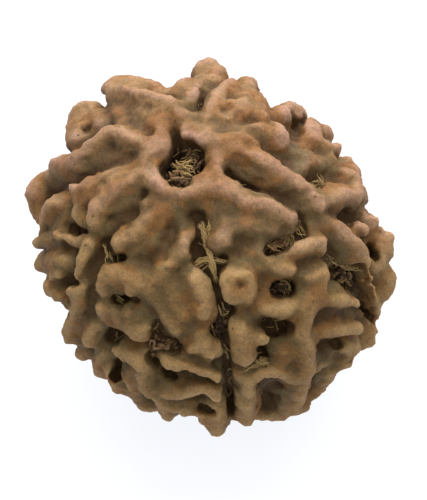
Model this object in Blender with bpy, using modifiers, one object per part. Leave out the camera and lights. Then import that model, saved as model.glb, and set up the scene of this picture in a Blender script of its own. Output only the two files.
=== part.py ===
"""A rudraksha seed, the dried woody stone of the fruit, 27 mm across, with seven ridged faces.

The stone is built up the way a carver would model it in clay. A round core takes tapered rolls
for the ridges, tongues and knobs, the rolls are fused by a voxel remesh, and the grooves, caves
and the stalk-end hole are cut out of the fused body. The seed lies with its stalk end up, leaning
a little to the front, on a few small flat spots worn on its underside.

Units: the tables are in millimetres and are turned to metres where the meshes are made.
The relief on the front and top is laid out as it looks from the front, 50 degrees above the
ground: millimetres to the right of the seed's middle and above it in that view. The relief on the
far side and underneath follows a rule: the two front faces are laid again in every face's span.
"""

import math
import random

import bmesh
import bpy
from mathutils import Vector

MM = 0.001

# The seed's own sizes, in millimetres from its middle
CREST_RADIUS = 13.0
CORE_RADIUS = 11.3
GROOVE_FLOOR = 10.3
GROOVE_HALF_WIDTH = 0.38
LIP_RADIUS = 12.6
MOUTH_RADIUS = 12.2
GROOVE_LEAN = 0.30
PIT_LEAN = 0.55
CUTTER_REACH = 14.6
FOOT_DROP = 0.75
BLADE_RADIUS = 0.45
FOOT_SPREAD = 1.2
FOOT_SINK = 0.3

# Where the seed's middle stands above the ground and beside the origin, in millimetres
SEED_MIDDLE = (0.13, 0.13, 12.55)
REST_KNOB_TURNS = (60.0, 195.0, 290.0)
REST_KNOB_OFFSET = 4.0
REST_KNOB_RADIUS = 1.1
REST_KNOB_WEAR = 0.35
REST_TRIM_SIDE = 12.0
REST_TRIM_DEPTH = 4.0

# The view in which the front relief is laid out
VIEW_ELEVATION = math.radians(50.0)
VIEW_DISTANCE = 250.0

# The stalk end in that view, and the turn of each groove about it, from straight down, in degrees
STALK_AXIS = Vector((-0.140, 0.436, 0.889)).normalized()
GROOVE_TURNS = [14.0, 70.0, 125.0, 173.0, 225.0, 266.0, 315.0]

# Fineness of the rolls and of the fused body, in millimetres and degrees
CURVE_STEPS = 3
CAP_ANGLES = (25.0, 50.0, 70.0, 84.0)
WELD_GAP = 0.000001
CLAY_VOXEL = 0.30
SMOOTH_ROUNDS = 5
CUTTER_SMOOTH_ROUNDS = 2
STONE_TRIANGLES_KEPT = 0.105
FIBRE_VOXEL = 0.12
FIBRE_SMOOTH_ROUNDS = 2
FIBRE_TRIANGLES_KEPT = 0.35

# Each roll of clay is a list of (right, up, half width, height of its top over the crest radius)
FACE_RIDGES = {
    "shoulder round the stalk-end hole": [
        [(-4.1, 6.6, 0.9, -0.10), (-4.6, 5.6, 1.1, 0.0), (-4.0, 4.6, 1.0, 0.05), (-3.2, 3.6, 0.9, 0.0)],
        [(-3.2, 3.6, 0.8, -0.1), (-2.3, 3.7, 0.7, -0.05), (-1.4, 3.9, 0.8, 0.0), (-0.2, 4.2, 1.0, 0.1)],
        [(0.6, 4.6, 0.8, 0.0), (0.5, 5.6, 0.8, -0.1), (0.6, 6.8, 0.9, 0.0), (0.0, 7.9, 0.8, 0.0)],
        [(-1.7, 8.6, 0.6, -0.1), (-1.0, 8.4, 0.6, -0.1), (-0.1, 8.0, 0.7, 0.0)],
        [(-1.8, 7.95, 0.5, -0.15), (-1.2, 7.8, 0.55, -0.1), (-0.4, 7.5, 0.6, -0.05)],
        [(-4.2, 6.6, 0.8, -0.05), (-4.0, 7.4, 0.7, 0.0)],
    ],
    "broad wing to the right of the hole": [
        [(-0.6, 4.1, 0.9, 0.05), (0.8, 4.0, 1.0, 0.2), (2.3, 3.1, 0.9, 0.15), (3.9, 2.8, 0.85, 0.1),
         (5.0, 2.3, 0.85, 0.0), (5.6, 2.0, 0.7, -0.05)],
        [(0.0, 3.0, 1.3, -0.35), (2.0, 2.5, 1.5, -0.25), (3.9, 1.9, 1.5, -0.2), (5.0, 1.75, 1.2, -0.25)],
        [(0.9, 0.55, 0.9, -0.1), (1.2, 1.3, 1.0, -0.15), (2.6, 1.5, 1.0, -0.15), (4.3, 1.2, 0.9, -0.25)],
    ],
    "face left of the front groove": [
        [(-3.2, 3.5, 1.0, -0.05), (-2.6, 2.8, 1.0, -0.3), (-2.3, 1.9, 0.9, -0.55)],
        [(-1.8, 0.6, 0.6, -0.35), (-1.9, -0.1, 0.62, -0.2), (-2.7, -1.0, 0.65, -0.2),
         (-3.6, -2.0, 0.7, -0.15), (-4.2, -2.8, 0.8, -0.2)],
        [(-3.3, 2.9, 0.8, -0.2), (-4.3, 2.1, 0.8, -0.1), (-5.2, 1.1, 0.9, 0.0), (-6.1, 0.45, 0.9, 0.05),
         (-6.4, 0.25, 0.8, 0.05)],
        [(-4.3, 0.5, 0.9, -0.3), (-5.4, -0.1, 0.8, -0.2)],
        [(-4.4, 3.0, 0.85, -0.15), (-3.6, 1.6, 0.9, -0.35), (-4.2, 0.9, 0.8, -0.4)],
        [(-7.4, -2.3, 0.95, 0.05), (-6.3, -2.1, 1.0, 0.15), (-5.0, -2.6, 1.0, 0.05), (-4.0, -3.1, 0.9, -0.15)],
        [(-7.5, -2.4, 0.9, 0.0), (-7.7, -3.0, 0.7, -0.05)],
        [(-5.9, -2.6, 0.8, 0.1), (-5.75, -3.0, 0.7, 0.1)],
        [(-7.75, -4.5, 0.72, -0.05), (-7.3, -5.1, 0.8, -0.25), (-6.2, -5.3, 0.9, -0.4)],
        [(-5.6, -4.9, 1.1, -0.2), (-5.6, -5.8, 1.0, -0.1), (-5.0, -6.0, 0.8, -0.1)],
        [(-6.8, -4.8, 0.9, -0.15), (-6.4, -5.3, 0.9, -0.15)],
        [(-4.9, -4.3, 0.8, -0.45), (-4.7, -5.2, 0.8, -0.35)],
        [(-2.9, -2.9, 1.0, -0.25), (-2.5, -3.9, 1.0, -0.15), (-2.0, -5.0, 0.9, -0.15)],
        [(-8.1, -5.6, 0.6, -0.2), (-8.7, -6.2, 0.62, 0.0), (-8.75, -6.8, 0.6, 0.05)],
        [(-7.0, -7.3, 0.5, -0.25), (-6.2, -7.7, 0.55, -0.15), (-5.4, -8.1, 0.6, 0.0), (-5.0, -8.8, 0.6, 0.05),
         (-4.9, -9.7, 0.65, 0.05), (-4.3, -10.5, 0.7, 0.05), (-3.6, -11.1, 0.7, 0.1), (-3.1, -12.0, 0.7, 0.2)],
        [(-7.7, -7.7, 0.7, -0.15), (-8.0, -8.4, 0.72, 0.05), (-7.9, -9.0, 0.68, 0.1)],
        [(-5.5, -9.0, 0.7, -0.2), (-5.5, -9.9, 0.75, -0.1), (-5.2, -10.7, 0.9, 0.0), (-4.3, -11.3, 0.9, 0.1)],
        [(-7.3, -9.0, 0.65, 0.15), (-6.7, -9.8, 0.75, 0.15), (-6.1, -10.4, 0.7, 0.1)],
        [(-2.0, -2.6, 0.8, -0.35), (-1.6, -3.6, 0.9, -0.25), (-1.4, -4.6, 0.9, -0.25)],
        [(-4.1, -3.4, 0.9, -0.2), (-3.3, -4.3, 1.0, -0.1), (-2.8, -5.2, 0.9, -0.1), (-2.4, -5.9, 0.7, -0.1)],
        [(-1.2, -2.4, 0.6, -0.1), (-0.85, -3.2, 0.68, 0.0), (-0.6, -4.2, 0.7, 0.05), (-0.6, -4.8, 0.6, 0.0)],
        [(-0.9, -6.2, 0.6, -0.15), (-0.7, -7.0, 0.8, 0.0), (-0.1, -7.8, 0.68, 0.05)],
        [(-0.7, -7.2, 0.7, 0.0), (-1.15, -7.4, 0.6, 0.0)],
        [(-2.9, -8.5, 0.52, -0.05), (-1.6, -8.65, 0.5, 0.0), (-0.5, -9.1, 0.5, 0.0), (0.4, -9.6, 0.4, 0.05)],
        [(-3.3, -10.4, 0.8, -0.05), (-2.0, -10.4, 0.9, 0.0), (-0.6, -10.4, 0.5, 0.0), (0.45, -10.9, 0.4, 0.1)],
        [(-2.7, -11.3, 0.9, 0.1), (-1.9, -11.9, 0.65, 0.15)],
        [(0.3, -12.0, 0.6, 0.0), (0.35, -13.15, 0.66, 0.7)],
        [(-0.8, -12.1, 0.5, 0.0), (-0.5, -12.7, 0.4, 0.2)],
        [(1.3, -12.2, 0.7, 0.0)],
    ],
    "thin wall in the front groove": [
        [(0.75, -5.6, 0.25, -0.7), (0.8, -6.8, 0.25, -0.6), (0.85, -7.9, 0.25, -0.7)],
    ],
    "face right of the front groove": [
        [(1.98, -2.9, 1.3, 0.15)],
        [(1.2, -2.9, 0.66, 0.18), (1.6, -2.22, 0.66, 0.22), (2.35, -2.22, 0.66, 0.22), (2.75, -2.9, 0.68, 0.2),
         (2.4, -3.6, 0.68, 0.15), (1.55, -3.55, 0.66, 0.12), (1.2, -2.9, 0.66, 0.18)],
        [(2.2, -5.9, 0.72, 0.0), (2.3, -7.0, 0.8, 0.1), (2.45, -8.0, 0.72, 0.05)],
        [(2.9, -6.4, 0.7, -0.05), (3.7, -6.75, 0.5, -0.05)],
        [(2.9, -5.0, 0.7, -0.4), (3.4, -4.4, 0.7, -0.3)],
        [(2.6, -9.8, 0.6, 0.0), (2.7, -10.6, 0.5, 0.1)],
        [(2.6, -11.4, 0.6, 0.0), (2.55, -12.5, 0.65, 0.3)],
        [(3.0, -9.5, 0.45, -0.1), (4.0, -9.1, 0.5, -0.05), (5.2, -9.15, 0.5, -0.05), (6.0, -9.7, 0.6, 0.0)],
        [(5.5, -10.6, 0.6, -0.3), (5.6, -11.8, 0.7, 0.1)],
        [(3.8, -2.5, 0.7, -0.5), (3.8, -3.5, 0.7, -0.45)],
        [(5.4, -7.3, 1.0, -0.45), (5.2, -8.3, 0.9, -0.45)],
        [(8.2, -4.9, 0.7, -0.8), (9.5, -5.0, 0.6, -0.9), (10.6, -5.1, 0.5, -0.8)],
        [(7.0, 1.4, 0.9, -0.45), (8.0, 1.1, 0.9, -0.4)],
        [(7.3, 2.1, 0.9, -0.4)],
        [(3.2, -1.6, 0.8, -0.35)],
        [(3.4, -12.2, 0.5, 0.0), (4.5, -12.2, 0.55, 0.1), (5.4, -12.1, 0.55, 0.1)],
        [(6.5, -11.5, 0.75, 0.3)],
        [(5.3, -0.7, 0.8, -0.3), (6.5, -0.15, 0.72, 0.0), (7.9, 0.1, 0.55, 0.1)],
        [(3.6, -1.1, 0.9, -0.3), (4.7, -1.6, 0.7, -0.1), (5.6, -1.6, 0.6, 0.0)],
        [(2.5, -0.65, 0.75, -0.45), (3.4, -0.5, 0.8, -0.4)],
        [(7.2, -2.2, 0.9, -0.05), (8.0, -2.05, 0.8, 0.05), (7.9, -2.9, 0.7, 0.0)],
        [(3.6, -4.4, 0.6, -0.1), (5.2, -4.5, 0.6, 0.0), (6.6, -4.3, 0.7, 0.0)],
        [(7.3, -3.5, 0.9, 0.0), (6.7, -4.9, 0.95, 0.05), (6.6, -6.4, 0.9, 0.1), (6.85, -7.7, 0.9, 0.15),
         (6.7, -9.1, 0.85, 0.15), (6.3, -10.5, 0.8, 0.1), (5.9, -11.8, 0.75, 0.2)],
        [(8.0, -3.7, 0.7, -0.05), (9.4, -3.9, 0.58, 0.0), (10.5, -4.2, 0.45, 0.05)],
        [(7.5, -6.3, 0.8, -0.1), (9.2, -6.0, 0.55, 0.0), (10.6, -6.0, 0.5, 0.1)],
        [(7.5, -8.7, 0.6, -0.15), (8.9, -8.1, 0.5, -0.3)],
        [(8.5, -9.0, 0.8, 0.1), (7.9, -9.8, 0.9, 0.2), (7.3, -10.6, 0.8, 0.15)],
        [(10.3, -7.35, 0.72, 0.3), (9.5, -7.3, 0.6, -0.1)],
        [(9.65, -8.4, 0.7, 0.25), (8.9, -8.6, 0.7, 0.0)],
    ],
    "face to the right, between two grooves": [
        [(1.0, 7.0, 0.8, 0.0), (2.5, 6.4, 0.9, 0.0), (4.5, 5.2, 0.95, 0.1), (6.2, 4.0, 0.9, 0.15),
         (7.2, 3.1, 0.85, 0.15), (7.5, 2.8, 0.8, 0.1)],
        [(0.5, 7.4, 0.8, 0.0), (2.0, 7.6, 0.7, 0.0), (3.0, 7.3, 0.6, -0.05)],
        [(1.5, 6.7, 0.8, -0.2), (2.2, 6.1, 0.8, -0.35), (3.2, 5.5, 0.7, -0.35)],
        [(6.3, 6.9, 0.6, -0.1), (7.4, 6.6, 0.7, 0.0), (8.6, 6.0, 0.75, 0.1)],
        [(8.2, 3.2, 0.65, 0.0), (9.3, 3.6, 0.7, 0.1), (10.3, 3.7, 0.72, 0.1)],
        [(9.4, 5.2, 0.7, 0.0), (10.1, 4.85, 0.7, 0.1), (10.35, 4.0, 0.78, 0.1)],
        [(8.0, 1.7, 0.9, -0.25), (9.1, 1.1, 0.85, 0.0), (10.0, 0.4, 0.8, 0.05), (10.6, -0.4, 0.75, 0.1),
         (11.2, -0.95, 0.6, 0.15)],
        [(10.3, 1.5, 0.5, -0.3), (11.1, 1.0, 0.4, -0.1)],
        [(10.5, 2.6, 0.5, -0.5), (11.0, 2.0, 0.5, -0.3), (11.5, 1.6, 0.62, 0.0)],
        [(12.4, 0.3, 0.95, 0.5), (12.4, -0.5, 0.9, 0.5)],
        [(12.5, -2.1, 0.95, 0.55), (12.35, -3.0, 0.95, 0.5)],
        [(11.2, -1.6, 0.4, 0.0), (11.5, -2.8, 0.4, 0.0), (11.9, -4.2, 0.5, 0.1), (11.8, -5.0, 0.55, 0.1)],
        [(11.55, -6.2, 0.68, 0.4), (11.4, -6.8, 0.65, 0.4)],
        [(7.2, 8.15, 0.85, 0.3), (7.3, 7.6, 0.8, 0.1)],
        [(8.15, 8.05, 0.78, 0.2)],
        [(8.1, 7.1, 0.7, 0.1), (9.0, 6.95, 0.62, 0.2)],
        [(7.2, 8.3, 0.8, 0.25), (8.0, 8.05, 0.82, 0.25)],
        [(6.5, 8.8, 0.7, 0.0), (6.9, 8.5, 0.7, 0.1)],
        [(4.6, 6.7, 0.8, -0.45), (5.8, 6.4, 0.9, -0.4), (7.2, 6.1, 0.8, -0.3), (8.6, 5.7, 0.7, -0.25)],
        [(6.1, 5.3, 0.8, -0.45), (6.7, 5.9, 0.8, -0.4)],
        [(9.3, 4.9, 0.7, -0.25), (9.0, 5.3, 0.7, -0.3)],
    ],
    "face to the upper right": [
        [(-0.2, 9.0, 0.6, 0.0), (0.25, 10.1, 0.6, 0.1), (0.8, 11.1, 0.6, 0.2), (1.4, 11.6, 0.6, 0.3)],
        [(0.3, 8.6, 0.7, -0.05), (1.6, 9.3, 0.6, 0.0), (2.4, 10.5, 0.7, 0.1), (2.6, 11.6, 0.85, 0.3)],
        [(3.2, 10.7, 0.75, 0.0), (3.5, 10.1, 0.7, 0.0), (3.6, 9.3, 0.6, 0.0)],
        [(1.3, 10.15, 0.4, 0.1), (2.5, 10.1, 0.42, 0.1)],
        [(5.0, 9.35, 0.75, 0.1), (5.8, 9.75, 0.85, 0.2), (6.55, 9.2, 0.6, 0.1)],
        [(4.95, 8.3, 0.72, 0.15), (5.0, 7.8, 0.76, 0.15)],
        [(1.0, 8.2, 0.6, -0.2), (2.6, 8.3, 0.6, -0.1), (3.9, 8.55, 0.6, -0.05), (4.7, 8.6, 0.6, 0.0)],
        [(1.3, 10.9, 0.7, 0.05), (1.6, 11.3, 0.6, 0.15)],
        [(4.0, 8.0, 0.6, -0.15)],
        [(2.4, 9.4, 0.65, -0.1), (2.7, 9.9, 0.6, -0.05)],
        [(6.6, 8.95, 0.75, 0.2), (7.1, 8.7, 0.75, 0.25)],
    ],
    "big block at the upper left": [
        [(-6.9, 11.6, 0.85, 0.3), (-5.8, 11.75, 0.9, 0.5)],
        [(-6.8, 11.3, 0.8, 0.4), (-5.9, 11.45, 0.8, 0.45), (-5.0, 11.1, 0.75, 0.3)],
        [(-5.9, 9.9, 0.7, -0.25), (-5.9, 9.2, 0.7, -0.35)],
        [(-4.5, 9.8, 0.7, -0.2), (-4.4, 8.9, 0.6, -0.25)],
        [(-5.0, 11.4, 0.8, 0.2), (-4.2, 11.3, 0.75, 0.2), (-3.4, 10.9, 0.7, 0.1)],
        [(-7.2, 11.2, 0.75, 0.3), (-5.8, 10.95, 0.6, 0.3), (-4.4, 10.7, 0.6, 0.25), (-2.9, 10.2, 0.7, 0.15)],
        [(-7.0, 10.9, 0.8, 0.0), (-6.8, 10.0, 0.8, -0.2), (-6.5, 9.2, 0.8, -0.4)],
        [(-5.5, 10.6, 0.75, 0.0), (-5.2, 9.7, 0.75, -0.2), (-5.0, 9.0, 0.7, -0.3)],
        [(-4.0, 10.4, 0.75, 0.0), (-3.7, 9.4, 0.7, -0.2), (-3.7, 8.6, 0.6, -0.2)],
        [(-2.7, 10.0, 0.7, 0.0), (-2.3, 9.4, 0.6, -0.05), (-1.5, 9.2, 0.6, -0.1)],
        [(0.35, 12.6, 0.8, 0.55), (0.1, 11.9, 0.7, 0.1), (-0.2, 11.2, 0.6, -0.3)],
        [(-0.2, 12.85, 0.98, 0.6), (-0.5, 12.2, 0.8, 0.2), (-1.0, 11.3, 0.7, 0.0), (-1.8, 10.4, 0.7, -0.05)],
        [(-1.8, 11.6, 0.75, 0.1), (-2.5, 11.0, 0.65, 0.0)],
    ],
    "face to the left": [
        [(-4.3, 7.0, 0.8, 0.0), (-5.5, 7.6, 0.85, 0.05), (-6.8, 8.0, 0.9, 0.1), (-7.9, 7.5, 0.9, 0.15),
         (-9.2, 6.4, 0.88, 0.2), (-10.5, 5.75, 0.8, 0.2), (-11.7, 4.9, 0.85, 0.3), (-12.65, 4.0, 0.95, 0.4)],
        [(-10.9, 5.9, 0.5, 0.3), (-11.4, 5.95, 0.5, 0.3)],
        [(-12.6, 4.0, 0.9, 0.3), (-12.4, 3.0, 0.9, 0.2), (-12.1, 2.2, 0.85, 0.0), (-11.9, 1.5, 0.7, -0.1)],
        [(-11.3, 0.6, 0.6, -0.2), (-12.5, 0.25, 0.5, 0.1)],
        [(-10.4, 2.9, 0.9, -0.15), (-11.2, 3.0, 0.9, 0.1), (-11.5, 2.3, 0.9, 0.0)],
        [(-5.0, 5.3, 0.9, -0.1), (-6.8, 5.0, 0.9, 0.0), (-8.0, 4.4, 0.9, 0.0), (-9.2, 4.1, 0.7, 0.0),
         (-9.9, 4.1, 0.5, 0.0)],
        [(-9.5, 3.9, 0.6, -0.15), (-9.4, 3.0, 0.7, -0.1), (-9.4, 2.3, 0.7, -0.15), (-9.2, 1.8, 0.5, -0.25)],
        [(-5.0, 5.1, 0.9, 0.1), (-6.5, 4.1, 0.95, 0.2), (-7.7, 3.1, 0.85, 0.3), (-8.3, 2.4, 0.75, 0.3),
         (-8.4, 2.0, 0.7, 0.25)],
        [(-8.6, 0.0, 0.6, -0.4), (-9.0, -0.5, 0.6, -0.2), (-9.2, -1.2, 0.55, -0.05), (-9.5, -2.0, 0.42, 0.0),
         (-9.75, -2.5, 0.34, 0.0)],
        [(-8.5, -0.4, 0.8, -0.6), (-8.5, -1.6, 0.7, -0.6), (-8.6, -3.0, 0.7, -0.65), (-8.8, -4.4, 0.6, -0.6)],
        [(-11.2, 0.75, 0.35, -0.1), (-10.4, 0.6, 0.4, -0.2), (-9.5, 0.3, 0.45, -0.25), (-8.6, 0.3, 0.5, -0.35)],
        [(-10.9, -1.95, 0.45, -0.1), (-11.5, -2.2, 0.4, 0.0)],
        [(-12.2, -1.2, 0.75, 0.0), (-11.0, -1.1, 0.95, -0.1), (-10.3, -1.0, 0.8, -0.2)],
        [(-10.9, 1.4, 0.7, -0.35), (-10.2, 1.9, 0.6, -0.4)],
        [(-11.45, -2.95, 0.86, 0.1), (-10.7, -3.5, 0.75, -0.1)],
        [(-10.2, -3.3, 0.4, 0.0), (-9.4, -3.0, 0.6, 0.05), (-9.0, -2.9, 0.5, -0.2)],
        [(-9.3, -3.1, 0.65, -0.05), (-9.5, -4.1, 0.72, 0.0), (-9.95, -5.3, 0.8, 0.15), (-10.05, -6.5, 0.78, 0.3)],
        [(-9.2, -7.7, 0.68, 0.15), (-8.9, -7.4, 0.6, -0.1)],
        [(-5.0, 6.5, 0.9, -0.35), (-6.8, 6.2, 0.9, -0.45), (-8.4, 5.6, 0.7, -0.55), (-9.8, 5.2, 0.5, -0.7)],
        [(-5.6, 3.9, 0.9, -0.2), (-6.4, 2.6, 0.9, -0.4), (-7.3, 1.5, 0.8, -0.5)],
        [(-9.2, 9.8, 0.85, 0.3), (-9.75, 9.0, 0.85, 0.35), (-9.8, 8.1, 0.85, 0.35), (-9.6, 7.6, 0.7, 0.1)],
        [(-9.0, 9.95, 0.78, 0.2), (-8.2, 9.3, 0.7, 0.0), (-7.9, 8.6, 0.6, -0.2)],
        [(-8.9, 7.9, 0.6, -0.15)],
        [(-9.3, 9.2, 0.85, 0.3), (-9.1, 8.4, 0.8, 0.2)],
        [(-10.6, 0.1, 0.6, -0.4)],
        [(-8.8, 3.5, 0.9, -0.1), (-7.4, 4.2, 1.0, 0.0), (-6.0, 4.7, 1.0, 0.05)],
    ],
}

# Grooves between the faces: half width, how far the floor is from the seed's middle, and a path of
# (right, up) from the stalk end outwards
FRONT_GROOVES = [
    (0.40, 10.2, [(-1.0, 2.2), (-0.75, 1.2), (-0.75, 0.0), (-0.1, -1.6), (0.45, -3.0), (0.8, -4.6),
                  (1.1, -6.4), (1.25, -8.4), (1.4, -10.4), (1.45, -11.9)]),
    (0.38, 10.3, [(1.3, 5.2), (2.3, 4.6), (3.8, 4.0), (5.4, 3.3), (6.6, 2.1), (6.9, 1.2)]),
    (0.34, 10.4, [(11.1, -3.2), (11.2, -4.2), (11.2, -5.0)]),
    (0.38, 10.3, [(6.0, 8.3), (6.6, 8.8), (7.3, 9.4)]),
    (0.30, 10.4, [(-1.0, 9.9), (-0.7, 10.4), (-0.4, 11.0)]),
    (0.24, 11.2, [(-8.0, -0.9), (-8.45, -2.2), (-8.65, -3.6), (-8.9, -5.0)]),
]

# Caves and pits, as lists of (right, up, half width, how far its floor is from the seed's middle)
FRONT_PITS = [
    [(-1.35, 3.4, 0.26, 11.6), (-1.4, 3.1, 0.24, 11.6)],
    [(-3.7, 2.3, 0.4, 12.1)],
    [(-2.8, 2.5, 0.22, 12.3)],
    [(-8.1, 3.6, 0.22, 12.5)],
    [(-2.6, -3.2, 0.16, 12.5)],
    [(-3.6, -4.4, 0.18, 12.4)],
    [(3.3, -5.7, 0.18, 12.3)],
    [(-3.5, 0.9, 0.35, 11.9), (-3.6, 0.0, 0.35, 11.8)],
    [(-4.7, 3.9, 0.3, 11.2), (-5.0, 3.3, 0.25, 11.3)],
    [(-7.2, 1.9, 0.4, 11.7)],
    [(-7.3, -1.1, 0.42, 9.9), (-6.4, -0.85, 0.4, 10.0)],
    [(-9.6, 0.95, 0.42, 10.2), (-10.2, 1.3, 0.34, 10.6)],
    [(-10.15, -2.55, 0.34, 10.3)],
    [(-6.9, -3.9, 0.55, 9.6), (-6.4, -4.0, 0.4, 10.0)],
    [(-5.3, -3.95, 0.4, 11.3)],
    [(-3.9, -5.5, 0.3, 11.2), (-4.0, -6.0, 0.4, 10.6)],
    [(-7.3, -4.7, 0.25, 12.1)],
    [(-7.0, -6.5, 0.68, 9.8), (-7.4, -6.9, 0.55, 10.0)],
    [(-6.7, -8.4, 0.5, 9.8), (-6.7, -9.2, 0.45, 10.1)],
    [(-4.0, -6.1, 0.5, 10.3), (-4.3, -7.0, 0.65, 9.9), (-3.3, -7.5, 0.7, 9.8), (-2.4, -7.3, 0.55, 10.0)],
    [(-4.4, -8.0, 0.45, 10.2), (-3.8, -8.9, 0.36, 10.2)],
    [(-3.15, -9.5, 0.5, 9.9), (-2.6, -9.7, 0.35, 10.3)],
    [(-0.8, -11.6, 0.42, 11.5), (0.0, -11.7, 0.42, 11.4)],
    [(-0.05, -5.8, 0.34, 10.2), (0.3, -6.6, 0.32, 10.3)],
    [(0.9, -0.9, 0.45, 10.3), (0.6, -1.5, 0.42, 10.2)],
    [(-1.15, 0.2, 0.42, 10.2), (-1.0, -0.9, 0.5, 10.2), (-0.4, -1.6, 0.42, 10.2)],
    [(1.5, -4.7, 0.5, 10.3)],
    [(1.98, -2.9, 0.36, 12.45)],
    [(3.0, 0.4, 0.4, 12.2)],
    [(4.1, -0.45, 0.4, 10.6), (5.0, 0.0, 0.62, 10.0), (5.9, 0.5, 0.45, 10.2), (6.8, 0.7, 0.3, 10.6)],
    [(5.0, -3.15, 0.78, 9.6), (5.75, -3.15, 0.75, 9.6)],
    [(4.6, -5.9, 0.72, 9.6), (5.15, -5.95, 0.72, 9.7)],
    [(4.6, -6.4, 0.45, 10.0)],
    [(7.4, -1.15, 0.32, 11.2)],
    [(9.3, -2.0, 0.75, 9.8), (10.3, -2.1, 0.85, 9.8), (9.9, -2.8, 0.6, 9.9), (10.6, -2.9, 0.55, 10.2)],
    [(3.7, -7.9, 0.55, 10.0), (3.9, -8.4, 0.45, 10.2)],
    [(3.8, -10.2, 0.45, 11.2), (4.5, -10.0, 0.45, 11.2), (5.1, -10.4, 0.42, 11.2)],
    [(4.0, -11.0, 0.6, 11.6), (4.5, -11.3, 0.6, 11.6)],
    [(7.55, 4.5, 0.5, 10.3), (8.15, 4.7, 0.5, 10.4)],
    [(9.5, 2.0, 0.55, 10.3), (9.9, 2.5, 0.55, 10.4), (10.3, 2.2, 0.4, 10.6)],
    [(9.7, 1.6, 0.4, 10.9), (10.2, 1.8, 0.4, 10.9)],
    [(11.5, -0.1, 0.4, 10.4), (11.6, -0.9, 0.42, 10.3)],
    [(6.1, 8.4, 0.4, 10.4)],
    [(3.75, 7.4, 0.3, 11.0)],
    [(4.0, 6.6, 0.32, 10.9)],
    [(5.6, 6.2, 0.6, 11.6)],
    [(9.0, -7.1, 0.6, 11.0), (8.2, -7.3, 0.5, 11.3)],
    [(-10.1, -2.6, 0.22, 11.6), (-9.5, -2.55, 0.2, 12.0)],
    [(-6.0, -3.8, 0.35, 11.2), (-5.2, -3.95, 0.3, 11.6)],
    [(-7.2, 7.4, 0.22, 12.4)],
    [(1.8, 10.75, 0.4, 12.4)],
    [(-0.2, -12.5, 0.3, 11.4)],
]

# The stalk-end hole, as a wide opening that narrows inwards, with a slot at its upper edge
HOLE_PITS = [
    [(-2.6, 5.4, 1.08, 7.0), (-1.6, 6.0, 1.05, 7.0)],
    [(-2.0, 4.95, 0.8, 7.0), (-1.3, 6.6, 0.85, 7.4)],
    [(-3.3, 5.6, 0.55, 8.6), (-3.1, 5.0, 0.5, 8.6)],
    [(-2.6, 6.3, 0.8, 8.0), (-2.5, 7.1, 0.5, 8.6), (-2.65, 8.5, 0.3, 10.9)],
]

# Strands of the dried fibre in the stalk-end hole, as (right, up, half width, distance from middle)
FIBRE_STRANDS = [
    [(-1.85, 5.3, 0.42, 9.5), (-1.95, 5.4, 0.38, 10.4)],
    [(-2.85, 5.4, 0.13, 10.7), (-2.4, 5.7, 0.17, 11.1), (-1.8, 5.8, 0.18, 11.3), (-1.2, 6.1, 0.13, 11.1)],
    [(-2.75, 5.0, 0.13, 10.6), (-2.2, 5.25, 0.19, 11.1), (-1.7, 5.2, 0.19, 11.2), (-1.3, 5.15, 0.13, 11.0)],
    [(-2.4, 4.75, 0.13, 10.6), (-2.15, 5.2, 0.18, 11.0), (-1.8, 5.8, 0.18, 11.2), (-1.5, 6.5, 0.13, 10.9)],
    [(-1.6, 4.85, 0.13, 10.6), (-1.8, 5.3, 0.19, 11.1), (-2.3, 5.8, 0.17, 11.2), (-2.5, 6.2, 0.13, 10.9)],
    [(-2.5, 5.2, 0.14, 10.5), (-2.0, 5.6, 0.18, 11.4), (-1.5, 5.5, 0.17, 11.5), (-1.3, 5.2, 0.14, 11.2)],
]

# The seed isn't round: the headings of its lower sides in the layout view in degrees, how much lower
# they are, and how narrow
LOW_SIDES = [(50.0, 1.4, 4.0), (220.0, 0.8, 5.0)]
DEEPEST_LOSS = 1.4
NOTCH_RADIUS = 12.15

# The rule for the side that the layout view doesn't reach, in degrees and millimetres: the two front
# faces, as (name, first turn, width), are laid again in every face's span, turned round the stalk axis
# as far as the seam and mirrored across the seed's waist beyond it
COPIED_FACES = [
    ("face right of the front groove", 14.0, 56.0),
    ("face left of the front groove", 315.0, 59.0),
]
FAR_SIDE_DEPTH = -0.9
FAR_SEAM = 104.0
FIRST_FALL = 48.0
LAST_FALL = 172.0
NEAREST_PIT_FALL = 32.0
EDGE_SHARE = 0.06
FACE_SHIFT = 5.0
CREST_STEP = 8.0
CREST_WAVE = 0.12
FAR_SIDE_SEED = 7

STONE_BROWN = (0.225, 0.130, 0.070, 1.0)
FIBRE_STRAW = (0.42, 0.30, 0.15, 1.0)


def clear_scene():
    """Remove whatever objects the scene holds."""
    for item in list(bpy.data.objects):
        bpy.data.objects.remove(item, do_unlink=True)


def named_collection(name):
    """Make a collection in the scene."""
    collection = bpy.data.collections.new(name)
    bpy.context.scene.collection.children.link(collection)
    return collection


def plain_material(name, colour, roughness):
    """Make a Principled material of one colour."""
    material = bpy.data.materials.new(name)
    material.use_nodes = True
    shader = material.node_tree.nodes["Principled BSDF"]
    shader.inputs["Base Color"].default_value = colour
    shader.inputs["Roughness"].default_value = roughness
    shader.inputs["Metallic"].default_value = 0.0
    return material


def view_to_seed(point):
    """Turn a point given as (right, up, toward the viewer) into the seed's own X, Y, Z."""
    up = Vector((0.0, math.sin(VIEW_ELEVATION), math.cos(VIEW_ELEVATION)))
    toward = Vector((0.0, -math.cos(VIEW_ELEVATION), math.sin(VIEW_ELEVATION)))
    return Vector((point.x, 0.0, 0.0)) + up * point.y + toward * point.z


def low_side_loss(direction):
    """Tell how much lower the seed is in a view direction because of its lower sides."""
    across = math.hypot(direction.x, direction.y)
    heading = math.atan2(direction.y, direction.x)
    return across ** 4 * sum(loss * max(0.0, math.cos(heading - math.radians(turn))) ** narrowness
                             for turn, loss, narrowness in LOW_SIDES)


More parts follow.
